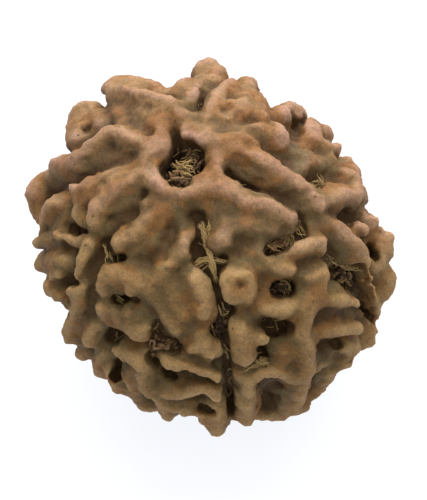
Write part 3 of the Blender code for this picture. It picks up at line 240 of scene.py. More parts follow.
        [(7.2, 8.15, 0.85, 0.3), (7.3, 7.6, 0.8, 0.1)],
        [(8.15, 8.05, 0.78, 0.2)],
        [(8.1, 7.1, 0.7, 0.1), (9.0, 6.95, 0.62, 0.2)],
        [(7.2, 8.3, 0.8, 0.25), (8.0, 8.05, 0.82, 0.25)],
        [(6.5, 8.8, 0.7, 0.0), (6.9, 8.5, 0.7, 0.1)],
        [(4.6, 6.7, 0.8, -0.45), (5.8, 6.4, 0.9, -0.4), (7.2, 6.1, 0.8, -0.3), (8.6, 5.7, 0.7, -0.25)],
        [(6.1, 5.3, 0.8, -0.45), (6.7, 5.9, 0.8, -0.4)],
        [(3.6, 5.0, 0.7, -0.6), (4.8, 4.4, 0.7, -0.5), (6.1, 3.6, 0.6, -0.5)],
        [(9.3, 4.9, 0.7, -0.25), (9.0, 5.3, 0.7, -0.3)],
    ],
    "face to the upper right": [
        [(-0.2, 9.0, 0.6, 0.0), (0.25, 10.1, 0.6, 0.1), (0.8, 11.1, 0.6, 0.2), (1.4, 11.6, 0.6, 0.3)],
        [(0.3, 8.6, 0.7, -0.05), (1.6, 9.3, 0.6, 0.0), (2.4, 10.5, 0.7, 0.1), (2.6, 11.6, 0.85, 0.3)],
        [(3.2, 10.7, 0.75, 0.0), (3.5, 10.1, 0.7, 0.0), (3.6, 9.3, 0.6, 0.0)],
        [(1.3, 10.15, 0.4, 0.1), (2.5, 10.1, 0.42, 0.1)],
        [(5.0, 9.35, 0.75, 0.1), (5.8, 9.85, 0.8, 0.35), (6.55, 9.2, 0.6, 0.05)],
        [(4.95, 8.3, 0.74, 0.3), (5.0, 7.8, 0.78, 0.3)],
        [(1.0, 8.2, 0.6, -0.2), (2.6, 8.3, 0.6, -0.1), (3.6, 8.45, 0.55, -0.05)],
        [(1.3, 10.9, 0.7, 0.05), (1.6, 11.3, 0.6, 0.15)],
        [(4.0, 8.0, 0.6, -0.15)],
        [(2.4, 9.4, 0.65, -0.1), (2.7, 9.9, 0.6, -0.05)],
        [(6.6, 8.95, 0.75, 0.15), (7.1, 8.6, 0.75, 0.15)],
        [(6.3, 9.6, 0.6, 0.2), (7.0, 8.95, 0.6, 0.2)],
    ],
    "big block at the upper left": [
        [(-6.9, 11.6, 0.85, 0.3), (-5.8, 11.75, 0.9, 0.5)],
        [(-6.8, 11.3, 0.8, 0.5), (-5.9, 11.45, 0.8, 0.58), (-5.0, 11.1, 0.75, 0.3)],
        [(-5.9, 9.9, 0.8, -0.2), (-5.8, 9.2, 0.8, -0.28), (-5.7, 8.4, 0.8, -0.35)],
        [(-4.5, 9.8, 0.8, -0.18), (-4.4, 8.9, 0.7, -0.25), (-4.3, 8.3, 0.7, -0.3)],
        [(-6.8, 10.6, 0.8, 0.0), (-5.4, 10.3, 0.8, 0.0), (-4.0, 10.1, 0.7, -0.05)],
        [(-5.0, 11.4, 0.8, 0.2), (-4.2, 11.3, 0.75, 0.2), (-3.4, 10.9, 0.7, 0.1)],
        [(-7.4, 11.3, 0.76, 0.5), (-5.8, 11.1, 0.5, 0.48), (-4.4, 10.75, 0.5, 0.4),
         (-2.9, 10.3, 0.6, 0.25)],
        [(-7.0, 10.9, 0.8, -0.1), (-6.8, 10.0, 0.75, -0.15), (-6.4, 9.2, 0.7, -0.25),
         (-6.2, 8.4, 0.7, -0.32)],
        [(-5.5, 10.6, 0.7, -0.2), (-5.1, 9.7, 0.6, -0.12), (-4.9, 9.0, 0.6, -0.2),
         (-4.8, 8.3, 0.6, -0.28)],
        [(-4.0, 10.4, 0.7, -0.1), (-3.7, 9.4, 0.65, -0.1), (-3.7, 8.6, 0.7, -0.15),
         (-3.7, 8.0, 0.7, -0.15)],
        [(-2.7, 10.0, 0.7, 0.0), (-2.3, 9.4, 0.6, -0.05), (-1.5, 9.2, 0.6, -0.1)],
        [(0.35, 12.6, 0.8, 0.55), (0.1, 11.9, 0.7, 0.1), (-0.2, 11.2, 0.6, -0.3)],
        [(-0.25, 12.85, 0.98, 0.72), (-0.5, 12.2, 0.8, 0.2), (-1.0, 11.3, 0.7, 0.0),
         (-1.8, 10.4, 0.7, -0.05)],
        [(-1.8, 11.6, 0.75, 0.1), (-2.5, 11.0, 0.65, 0.0)],
    ],
    "face to the left": [
        [(-4.3, 7.0, 0.8, 0.0), (-5.5, 7.6, 0.85, 0.05), (-6.8, 8.0, 0.9, 0.1), (-7.9, 7.5, 0.9, 0.15),
         (-9.2, 6.4, 0.88, 0.2), (-10.5, 5.75, 0.8, 0.2), (-11.65, 4.8, 0.8, 0.08),
         (-12.7, 4.0, 0.95, 0.55)],
        [(-10.7, 6.1, 0.55, 0.35), (-11.3, 5.95, 0.55, 0.42)],
        [(-12.6, 4.0, 0.9, 0.3), (-12.4, 3.0, 0.9, 0.2), (-12.1, 2.2, 0.85, 0.0),
         (-11.9, 1.5, 0.7, -0.1)],
        [(-11.3, 0.6, 0.6, -0.2), (-12.5, 0.25, 0.5, 0.1)],
        [(-10.4, 2.9, 0.9, -0.15), (-11.2, 3.0, 0.9, 0.1), (-11.5, 2.3, 0.9, 0.0)],
        [(-5.0, 5.3, 0.9, -0.1), (-6.8, 5.0, 0.9, 0.0), (-8.0, 4.4, 0.9, 0.0), (-9.2, 4.1, 0.7, 0.0),
         (-9.9, 4.1, 0.5, 0.0)],
        [(-9.5, 3.9, 0.6, -0.15), (-9.4, 3.0, 0.7, -0.1), (-9.4, 2.3, 0.7, -0.15),
         (-9.2, 1.8, 0.5, -0.25)],
        [(-5.0, 5.1, 0.9, 0.1), (-6.5, 4.1, 0.95, 0.2), (-7.7, 3.1, 0.85, 0.3), (-8.3, 2.4, 0.75, 0.3),
         (-8.4, 2.0, 0.7, 0.25)],
        [(-8.7, 0.2, 0.44, -0.15), (-9.1, -0.5, 0.42, -0.05), (-9.35, -1.2, 0.38, 0.0),
         (-9.6, -2.0, 0.34, 0.0), (-9.75, -2.5, 0.32, 0.0)],
        [(-8.5, -0.4, 0.8, -0.6), (-8.5, -1.6, 0.7, -0.6), (-8.6, -3.0, 0.7, -0.65),
         (-8.8, -4.4, 0.6, -0.6)],
        [(-11.2, 0.75, 0.35, -0.1), (-10.4, 0.6, 0.4, -0.2), (-9.5, 0.3, 0.45, -0.25),
         (-8.6, 0.3, 0.5, -0.35)],
        [(-10.9, -1.95, 0.45, -0.1), (-11.5, -2.2, 0.4, 0.0)],
        [(-12.2, -1.2, 0.75, 0.0), (-11.0, -1.1, 0.95, -0.1), (-10.3, -1.0, 0.8, -0.2)],
        [(-10.9, 1.4, 0.7, -0.35), (-10.2, 1.9, 0.6, -0.4)],
        [(-11.45, -2.95, 0.86, 0.22), (-10.7, -3.5, 0.75, -0.1)],
        [(-10.2, -3.3, 0.4, 0.0), (-9.4, -3.0, 0.6, 0.05), (-9.0, -2.9, 0.5, -0.2)],
        [(-9.3, -3.1, 0.65, -0.05), (-9.5, -4.1, 0.72, 0.0), (-9.95, -5.3, 0.8, 0.15),
         (-10.05, -6.5, 0.78, 0.3)],
        [(-9.2, -7.7, 0.68, 0.15), (-8.9, -7.4, 0.6, -0.1)],
        [(-5.0, 6.5, 0.9, -0.35), (-6.8, 6.2, 0.9, -0.45), (-8.4, 5.6, 0.7, -0.55),
         (-9.8, 5.2, 0.5, -0.7)],
        [(-5.6, 3.9, 0.9, -0.2), (-6.4, 2.6, 0.9, -0.4), (-7.3, 1.5, 0.8, -0.5)],
        [(-9.2, 9.8, 0.85, 0.3), (-9.75, 9.0, 0.85, 0.35), (-9.8, 8.1, 0.85, 0.35),
         (-9.6, 7.6, 0.7, 0.1)],
        [(-9.0, 9.95, 0.78, 0.2), (-8.2, 9.3, 0.7, 0.0), (-7.9, 8.6, 0.6, -0.2)],
        [(-8.9, 7.9, 0.6, -0.15)],
        [(-9.3, 9.2, 0.85, 0.3), (-9.1, 8.4, 0.8, 0.2)],
        [(-10.6, 0.1, 0.6, -0.4)],
        [(-8.8, 3.5, 0.9, -0.1), (-7.4, 4.2, 1.0, 0.0), (-6.0, 4.7, 1.0, 0.05)],
    ],
}

# Grooves between the faces: half width, how far the floor is from the seed's middle, and a path of
# (right, up) from the stalk end outwards
FRONT_GROOVES = [
    (0.40, 10.2, [(-1.0, 2.2), (-0.75, 1.2), (-0.75, 0.0), (-0.1, -1.6), (0.45, -3.0), (0.8, -4.6),
                  (1.1, -6.4), (1.25, -8.4), (1.4, -10.4), (1.45, -11.9)]),
    (0.46, 10.3, [(1.3, 5.2), (2.3, 4.6), (3.3, 4.2)]),
    (0.25, 10.7, [(3.2, 4.25), (4.6, 3.75), (5.7, 3.15), (6.6, 2.1), (6.9, 1.2)]),
    (0.34, 10.4, [(11.1, -3.2), (11.2, -4.2), (11.2, -5.0)]),
    (0.38, 10.3, [(6.0, 8.3), (6.6, 8.8), (7.3, 9.4)]),
    (0.30, 10.4, [(-1.0, 9.9), (-0.7, 10.4), (-0.4, 11.0)]),
    (0.24, 11.2, [(-8.0, -0.9), (-8.45, -2.2), (-8.65, -3.6), (-8.9, -5.0)]),
]

# Caves and pits, as lists of (right, up, half width, how far its floor is from the seed's middle)
FRONT_PITS = [
    [(-1.35, 3.4, 0.26, 11.6), (-1.4, 3.1, 0.24, 11.6)],
    [(-3.7, 2.3, 0.4, 12.1)],
    [(-2.8, 2.5, 0.22, 12.3)],
    [(-8.1, 3.6, 0.22, 12.5)],
    [(-10.2, 5.0, 0.2, 11.6), (-9.2, 5.1, 0.2, 11.4), (-8.5, 5.35, 0.18, 11.7)],
    [(-10.4, 3.9, 0.24, 11.7), (-10.0, 3.55, 0.24, 11.6)],
    [(-2.6, -3.2, 0.16, 12.5)],
    [(-3.6, -4.4, 0.18, 12.4)],
    [(3.3, -5.7, 0.18, 12.3)],
    [(-3.5, 0.9, 0.35, 11.9), (-3.6, 0.0, 0.35, 11.8)],
    [(-4.7, 3.9, 0.3, 11.2), (-5.0, 3.3, 0.25, 11.3)],
    [(-7.2, 1.9, 0.4, 11.7)],
    [(-7.3, -1.1, 0.42, 9.9), (-6.4, -0.85, 0.4, 10.0)],
    [(-9.6, 0.95, 0.42, 10.2), (-10.2, 1.3, 0.34, 10.6)],
    [(-10.7, -2.55, 0.3, 10.5), (-10.1, -2.62, 0.38, 10.3), (-9.4, -2.6, 0.28, 11.2)],
    [(-6.9, -3.9, 0.55, 9.6), (-6.4, -4.0, 0.4, 10.0)],
    [(-5.3, -3.95, 0.4, 11.3)],
    [(-3.9, -5.5, 0.3, 11.2), (-4.0, -6.0, 0.4, 10.6)],
    [(-7.3, -4.7, 0.25, 12.1)],
    [(-6.9, -6.5, 0.78, 9.8), (-7.4, -6.9, 0.68, 10.0)],
    [(-6.7, -8.4, 0.5, 10.5), (-6.7, -9.2, 0.45, 10.7)],
    [(-4.0, -6.1, 0.5, 10.6), (-4.3, -7.0, 0.65, 10.5), (-3.3, -7.5, 0.7, 10.4),
     (-2.4, -7.3, 0.55, 10.5)],
    [(-4.4, -8.0, 0.45, 10.2), (-3.8, -8.9, 0.36, 10.2)],
    [(-3.15, -9.5, 0.5, 9.9), (-2.6, -9.7, 0.35, 10.3)],
    [(-0.8, -11.6, 0.42, 11.5), (0.0, -11.7, 0.42, 11.4)],
    [(-0.05, -5.8, 0.34, 10.2), (0.3, -6.6, 0.32, 10.3)],
    [(0.9, -0.9, 0.45, 10.3), (0.6, -1.5, 0.42, 10.2)],
    [(-1.15, 0.2, 0.42, 10.2), (-1.0, -0.9, 0.5, 10.2), (-0.4, -1.6, 0.42, 10.2)],
    [(1.5, -4.7, 0.5, 10.3)],
    [(2.05, -2.8, 0.5, 12.6)],
    [(3.0, 0.4, 0.4, 12.2)],
    [(4.1, -0.45, 0.4, 10.6), (5.0, 0.0, 0.62, 10.0), (5.9, 0.5, 0.45, 10.2), (6.8, 0.7, 0.3, 10.6)],
    [(5.0, -3.15, 0.78, 9.6), (5.75, -3.15, 0.75, 9.6)],
    [(4.45, -5.95, 0.76, 9.6), (5.3, -5.95, 0.76, 9.6)],
    [(4.7, -6.5, 0.55, 9.9), (5.4, -6.4, 0.45, 10.1)],
    [(7.4, -1.15, 0.32, 11.2)],
    [(9.3, -2.0, 0.75, 9.8), (10.3, -2.1, 0.85, 9.8), (9.9, -2.8, 0.6, 9.9), (10.6, -2.9, 0.55, 10.2)],
    [(10.6, -1.8, 0.6, 9.9), (10.85, -2.5, 0.55, 9.9), (10.8, -3.1, 0.4, 10.2)],
    [(3.7, -7.9, 0.55, 10.0), (3.9, -8.4, 0.45, 10.2)],
    [(3.8, -10.2, 0.45, 11.1), (4.5, -10.0, 0.45, 11.1), (5.1, -10.4, 0.42, 11.2)],
    [(4.1, -10.9, 0.6, 11.4), (4.5, -11.2, 0.6, 11.5)],
    [(7.55, 4.5, 0.5, 10.3), (8.15, 4.7, 0.5, 10.4)],
    [(9.5, 2.0, 0.55, 10.3), (9.9, 2.5, 0.55, 10.4), (10.3, 2.2, 0.4, 10.6)],
    [(9.7, 1.6, 0.4, 10.9), (10.2, 1.8, 0.4, 10.9)],
    [(11.5, -0.1, 0.4, 10.4), (11.6, -0.9, 0.42, 10.3)],
    [(5.5, 9.1, 0.36, 10.9), (6.1, 8.8, 0.5, 10.4), (6.2, 8.2, 0.42, 10.6)],
    [(3.8, 7.9, 0.24, 12.1), (3.75, 7.4, 0.26, 11.6), (4.0, 6.6, 0.34, 10.9)],
    [(5.6, 6.2, 0.6, 11.6)],
    [(9.2, -7.1, 0.6, 11.4), (8.3, -7.3, 0.6, 11.6)],
    [(-10.1, -2.6, 0.22, 11.6), (-9.5, -2.55, 0.2, 12.0)],
    [(-6.0, -3.8, 0.35, 11.2), (-5.2, -3.95, 0.3, 11.6)],
    [(-7.2, 7.4, 0.22, 12.4)],
    [(1.8, 10.75, 0.4, 12.4)],
    [(-0.2, -12.5, 0.3, 11.4)],
]

# The stalk-end hole, as a wide opening that narrows inwards, with a slot at its upper edge
HOLE_PITS = [
    [(-2.6, 5.4, 1.1, 7.0), (-1.45, 5.95, 1.1, 7.0)],
    [(-2.1, 4.9, 0.85, 7.0), (-1.25, 6.6, 0.9, 7.4)],
    [(-1.3, 7.2, 0.6, 10.4), (-2.2, 7.4, 0.55, 10.4)],
    [(-3.3, 5.6, 0.55, 8.6), (-3.1, 5.0, 0.5, 8.6)],
    [(-2.6, 6.3, 0.8, 8.0), (-2.5, 7.2, 0.5, 9.6), (-2.65, 8.4, 0.34, 11.7)],
]

# The seed isn't round: the headings of its lower sides in the layout view in degrees, how much lower
# they are and how narrow, and how fast they fade toward the viewer
LOW_SIDES = [(50.0, 1.4, 4.0), (220.0, 0.8, 5.0)]
LOW_SIDE_FADE = 4
DEEPEST_LOSS = 1.4
NOTCH_RADIUS = 12.15

# The rule for the side that the layout view doesn't reach, in degrees and millimetres: the two front
# faces, as (name, first turn, width), are laid again in every face's span, turned round the stalk axis
# as far as the seam and mirrored across the seed's waist beyond it
COPIED_FACES = [
    ("face right of the front groove", 14.0, 56.0),
    ("face left of the front groove", 315.0, 59.0),
]
FAR_SIDE_DEPTH = -0.9
FAR_SEAM = 104.0
FIRST_FALL = 48.0
LAST_FALL = 172.0
NEAREST_PIT_FALL = 32.0
EDGE_SHARE = 0.06
FACE_SHIFT = 5.0
CREST_STEP = 8.0
CREST_WAVE = 0.12
CREST_PHASE = 1.7
CREST_PACE = 0.08
FAR_CREST_HALF_WIDTH = 0.8
FAR_CREST_LIFT = -0.45
GROOVE_STEP = 4.0
GROOVE_WAVE = 2.2
GROOVE_PHASE = 2.0
GROOVE_PACE = 0.09
FAR_SIDE_SEED = 7

# Ridges and hollows behind the outline: how many, first depths and steps as shares of the radius, half
# widths and floors, random seed, places and points, how much they wander, and how low they may lie
RIM_RIDGES = 30
RIM_RIDGE_DEPTHS = (-0.12, 0.0)
RIM_RIDGE_RADII = (0.42, 0.6)
RIM_CUTS = 34
RIM_SEED = 4
RIM_PLACES = (0.2, 0.8)
RIM_POINTS = (2, 3, 3)
RIM_DEPTHS = (-0.2, -0.13)
RIM_STEPS = (0.06, 0.12)
RIM_FLOORS = (11.3, 12.0)
RIM_RADII = (0.32, 0.52)
RIM_TURN = 0.13
RIM_LOWEST = -0.75

# Cuts along the line of sight that open the outline's notches, as (right, up, half width, depth of the
# far end toward the viewer)
SIGHT_CUTS = [
    (-8.0, 10.8, 0.36, -6.0),
    (-7.7, 10.3, 0.36, -6.0),
    (-9.15, 8.7, 0.58, 3.35),
    (-12.75, 5.35, 0.3, -6.0),
    (-10.7, -4.95, 0.44, -6.0),
    (7.15, -11.95, 0.34, -6.0),
    (-12.55, -2.1, 0.32, -6.0),
    (-12.05, -1.95, 0.22, -6.0),
    (-12.65, -0.3, 0.24, -6.0),
    (12.7, 1.5, 0.3, -6.0),
    (-1.5, 12.75, 0.3, -6.0),
]

# Guide lines of the dried fibres, as (right, up, distance from the seed's middle)
FRONT_STRAND = [
    [(-0.9, 1.5, 12.0), (-0.5, 0.8, 11.8), (-0.3, 0.0, 11.6), (0.0, -0.9, 11.6), (0.2, -2.0, 11.5),
     (0.4, -2.7, 11.2)],
    [(-0.6, 1.7, 12.1), (-0.4, 0.9, 11.9), (-0.2, 0.0, 11.7), (0.1, -1.0, 11.6), (0.3, -2.1, 11.5)],
    [(0.0, 1.9, 12.1), (-0.3, 1.0, 11.9), (-0.35, 0.2, 11.7), (-0.1, -0.8, 11.5), (0.1, -1.8, 11.3)],
]
CAVE_STRANDS = [
    [(-1.2, -1.3, 11.2), (-0.6, -1.0, 11.4), (0.1, -1.1, 11.5), (1.3, -1.1, 11.4), (1.6, -1.2, 11.0)],
    [(-1.3, -1.8, 11.2), (-0.8, -1.3, 11.3), (-0.1, -0.9, 11.2)],
    [(5.0, 0.8, 11.4), (5.6, 0.6, 11.2), (5.8, -0.1, 11.1)],
    [(5.5, 0.9, 11.5), (5.7, 0.3, 11.2)],
    [(4.0, 0.2, 11.6), (4.9, -0.2, 11.2)],
    [(4.4, 0.6, 11.5), (5.2, 0.9, 11.7), (6.0, 1.2, 11.6)],
    [(6.2, 1.6, 12.0), (6.9, 0.7, 11.6), (7.6, 0.2, 11.7)],
    [(8.5, -0.9, 11.6), (9.5, -1.3, 11.5), (10.9, -1.7, 11.7)],
    [(9.5, -2.0, 11.0), (10.0, -2.7, 10.9), (10.6, -3.3, 11.2)],
    [(9.2, -2.6, 11.2), (10.4, -2.2, 11.1), (11.0, -2.6, 11.4)],
    [(5.0, -2.6, 11.2), (5.5, -2.9, 10.9), (5.4, -3.5, 11.0)],
    [(2.3, -9.1, 12.5), (3.2, -8.75, 12.3), (4.2, -8.4, 12.1)],
    [(3.2, -8.5, 12.1), (4.2, -8.8, 12.4), (4.8, -9.1, 12.7)],
    [(3.3, -8.2, 11.9), (4.2, -8.7, 12.3)],
    [(-7.4, -0.5, 11.7), (-7.0, -1.3, 11.2)],
    [(-7.9, 0.1, 11.9), (-7.5, -0.9, 11.5)],
    [(-8.5, -3.0, 11.9), (-8.2, -3.8, 11.6)],
    [(7.2, 4.2, 11.9), (8.0, 4.6, 11.6), (8.8, 4.3, 11.8)],
    [(7.8, 5.0, 11.9), (8.3, 4.0, 11.7)],
    [(-1.0, 10.2, 11.8), (-0.7, 10.9, 11.7)],
]
DARK_STRANDS = [
    [(-4.8, -6.5, 11.4), (-4.0, -7.0, 11.0), (-2.8, -7.6, 11.2)],
    [(-4.6, -7.4, 11.3), (-3.6, -7.6, 10.9), (-2.6, -7.0, 11.1)],
    [(-4.2, -8.2, 11.5), (-3.4, -7.9, 11.1), (-2.4, -8.1, 11.4)],
    [(0.6, -4.2, 11.2), (0.9, -4.9, 11.3), (1.3, -4.8, 11.2)],
    [(0.2, -5.6, 11.2), (0.6, -6.6, 11.1)],
    [(0.9, -7.2, 11.2), (1.2, -8.3, 11.2)],
    [(-6.9, -6.4, 11.2), (-7.2, -7.2, 11.3)],
    [(-6.6, -8.4, 11.3), (-6.8, -9.3, 11.4)],
    [(-7.0, -3.7, 11.2), (-6.2, -4.2, 11.2)],
    [(-3.2, 5.0, 10.6), (-2.6, 4.65, 11.0), (-1.8, 4.5, 11.3)],
    [(-2.9, 4.8, 10.7), (-2.2, 4.6, 11.2), (-1.4, 4.8, 11.2)],
    [(-2.0, 6.5, 10.3), (-1.3, 6.8, 10.7), (-0.7, 6.3, 10.9)],
]
HOLE_TUFT = [
    [(-2.8, 5.75, 10.5), (-2.4, 5.8, 11.0), (-1.9, 6.0, 11.2), (-1.3, 6.15, 11.1)],
    [(-2.7, 5.3, 10.6), (-2.3, 5.6, 11.1), (-1.8, 5.5, 11.3), (-1.3, 5.7, 11.1)],
    [(-2.3, 4.9, 10.6), (-2.1, 5.3, 11.0), (-1.9, 5.8, 11.2), (-1.6, 6.3, 10.9)],
    [(-1.8, 4.8, 10.7), (-1.9, 5.3, 11.1), (-2.2, 5.7, 11.2), (-2.4, 6.0, 10.9)],
    [(-2.5, 5.2, 10.5), (-2.0, 5.6, 11.4), (-1.6, 5.4, 11.5), (-1.3, 5.0, 11.2)],
    [(-2.1, 5.1, 9.6), (-1.9, 5.4, 10.6), (-1.7, 5.6, 11.2)],
    [(-1.6, 5.7, 9.6), (-1.9, 5.5, 10.4), (-2.1, 5.3, 11.0)],
]
CRUMB_LINES = [
    [(-3.0, 4.7, 10.6), (-2.6, 4.5, 11.0), (-2.2, 4.4, 11.2), (-1.7, 4.5, 11.4)],
    [(-2.4, 4.9, 10.6), (-1.9, 4.8, 10.8), (-1.3, 5.1, 10.9)],
    [(-1.2, 6.8, 10.6), (-0.8, 6.3, 10.9), (-0.8, 5.6, 10.9)],
    [(-1.9, 6.9, 10.4), (-1.5, 6.8, 10.6)],
    [(-4.6, -6.6, 11.2), (-3.8, -7.0, 11.0), (-2.8, -7.5, 11.1), (-2.2, -8.0, 11.2)],
    [(-4.8, -7.3, 11.3), (-3.8, -7.6, 11.0), (-2.6, -7.0, 11.0)],
    [(4.0, 0.0, 11.3), (4.6, 0.3, 11.2), (5.4, 0.0, 11.1)],
    [(5.0, -2.9, 10.9), (5.6, -3.3, 10.9)],
    [(9.2, -1.8, 10.9), (10.0, -2.4, 10.7), (10.6, -2.9, 10.9)],
    [(0.5, -5.2, 11.0), (0.8, -6.4, 11.0), (1.0, -7.6, 11.0)],
]


class Slot(Enum):
    """The record's material slots."""

    STONE = "dried_stone"
    FIBRE = "dried_fibre"


class Pad:
    """A node tree that grows by one node at a time."""

    def __init__(self, tree: bpy.types.NodeTree) -> None:
        """Start on a tree."""
        self.tree = tree

    @staticmethod
    def pick(sockets: bpy.types.bpy_prop_collection, key: int | str) -> Socket:
        """Find a socket that is in use."""
        live = [item for item in sockets if item.enabled and not item.is_unavailable]
        return live[key] if isinstance(key, int) else next(item for item in live if item.name == key)

    def add(self, kind: str, inputs: dict | None = None, out: int | str = 0, **settings: object) -> Socket:
        """Add a node and wire it up.

        Args:
            kind: The node's type.
            inputs: What each input gets, a socket or a plain value.
            out: Which output to hand back.
            **settings: The node's own properties.

        Returns:
            The asked output socket, or the first input of a node without outputs.
        """
        node = self.tree.nodes.new(kind)
        for name, value in settings.items():
            setattr(node, name, value)
        for key, value in (inputs or {}).items():
            socket = self.pick(node.inputs, key)
            if isinstance(value, Socket):
                self.tree.links.new(value, socket)
            else:
                socket.default_value = value
        return self.pick(node.outputs, out) if node.outputs else node.inputs[0]

    def math(self, operation: str, first: object, second: object = 0.0) -> Socket:
        """Add a Math node."""
        values = {0: first} if operation == "ABSOLUTE" else {0: first, 1: second}
        return self.add("ShaderNodeMath", values, operation=operation)

    def times(self, first: object, second: object) -> Socket:
        """Multiply two values."""
        return self.math("MULTIPLY", first, second)

    def plus(self, first: object, second: object) -> Socket:
        """Add two values."""
        return self.math("ADD", first, second)

    def minus(self, first: object, second: object) -> Socket:
        """Take the second value from the first."""
        return self.math("SUBTRACT", first, second)

    def vector(self, operation: str, first: object, second: object, second_key: int | str = 1) -> Socket:
        """Add a Vector Math node."""
        return self.add("ShaderNodeVectorMath", {0: first, second_key: second}, operation=operation)

    def wander(self, pattern: object, amount: object) -> Socket:
        """Turn a noise pattern's colour into a push either way along each axis."""
        centred = self.vector("SUBTRACT", pattern, (0.5, 0.5, 0.5))
        return self.vector("SCALE", centred, amount, "Scale")

    def luck(self, seed: object, low: float = 0.0, high: float = 1.0, **number: object) -> Socket:
        """Draw a random number for each element, or for each ID that is given."""
        return self.add("FunctionNodeRandomValue", {"Min": low, "Max": high, "Seed": seed} | number,
                        data_type="FLOAT")

    def mark(self, name: str) -> Socket:
        """Read a number that is stored on the surface, in a material."""
        return self.add("ShaderNodeAttribute", out="Fac", attribute_name=name)

    def stored(self, name: str, kind: str = "FLOAT") -> Socket:
        """Read a number that is stored on the geometry, in a Geometry Nodes tree."""
        return self.add("GeometryNodeInputNamedAttribute", {"Name": name}, data_type=kind)

    def store(self, geometry: object, name: str, value: object, kind: str = "FLOAT",
              domain: str = "POINT") -> Socket:
        """Store a number on the geometry under a name."""
        return self.add("GeometryNodeStoreNamedAttribute", {
            "Geometry": geometry, "Name": name, "Value": value}, data_type=kind, domain=domain)

    def tubes(self, curves: object, width: object, sides: int) -> Socket:
        """Give curves a closed body of a half width and a number of sides."""
        ring = self.add("GeometryNodeCurvePrimitiveCircle", {"Resolution": sides, "Radius": 1.0},
                        mode="RADIUS")
        return self.add("GeometryNodeCurveToMesh", {
            "Curve": curves, "Profile Curve": ring, "Scale": width, "Fill Caps": True})

    def noise(self, place: object, size: float, detail: float = 2.0, roughness: float = 0.5,
              out: int = 0) -> Socket:
        """Add a noise pattern."""
        return self.add("ShaderNodeTexNoise", {"Vector": place, "Scale": 1.0 / size, "Detail": detail,
                                               "Roughness": roughness}, out=out)

    def span(self, value: object, low: float, high: float, to_low: float = 0.0,
             to_high: float = 1.0) -> Socket:
        """Map a span of values smoothly to another."""
        return self.add("ShaderNodeMapRange", {"Value": value, 1: low, 2: high, 3: to_low, 4: to_high},
                        interpolation_type="SMOOTHSTEP")

    def mix(self, share: object, first: object, second: object, blend: str = "MIX") -> Socket:
        """Mix two colours."""
        return self.add("ShaderNodeMix", {0: share, "A": first, "B": second}, data_type="RGBA",
                        blend_type=blend)

    def ramp(self, value: object, stops: list[tuple[float, tuple]]) -> Socket:
        """Turn a value into a colour.

        Args:
            value: The value.
            stops: Each stop's place and colour.

        Returns:
            The colour.
        """
        out = self.add("ShaderNodeValToRGB", {0: value})
        elements = out.node.color_ramp.elements
        elements[0].position, elements[0].color = stops[0]
        elements[1].position, elements[1].color = stops[-1]
        for place, colour in stops[1:-1]:
            elements.new(place).color = colour
        return out

    def coat(self, inputs: dict) -> None:
        """End a material's tree in a shader with the given inputs."""
        shader = self.add("ShaderNodeBsdfPrincipled", inputs)
        self.add("ShaderNodeOutputMaterial", {"Surface": shader})


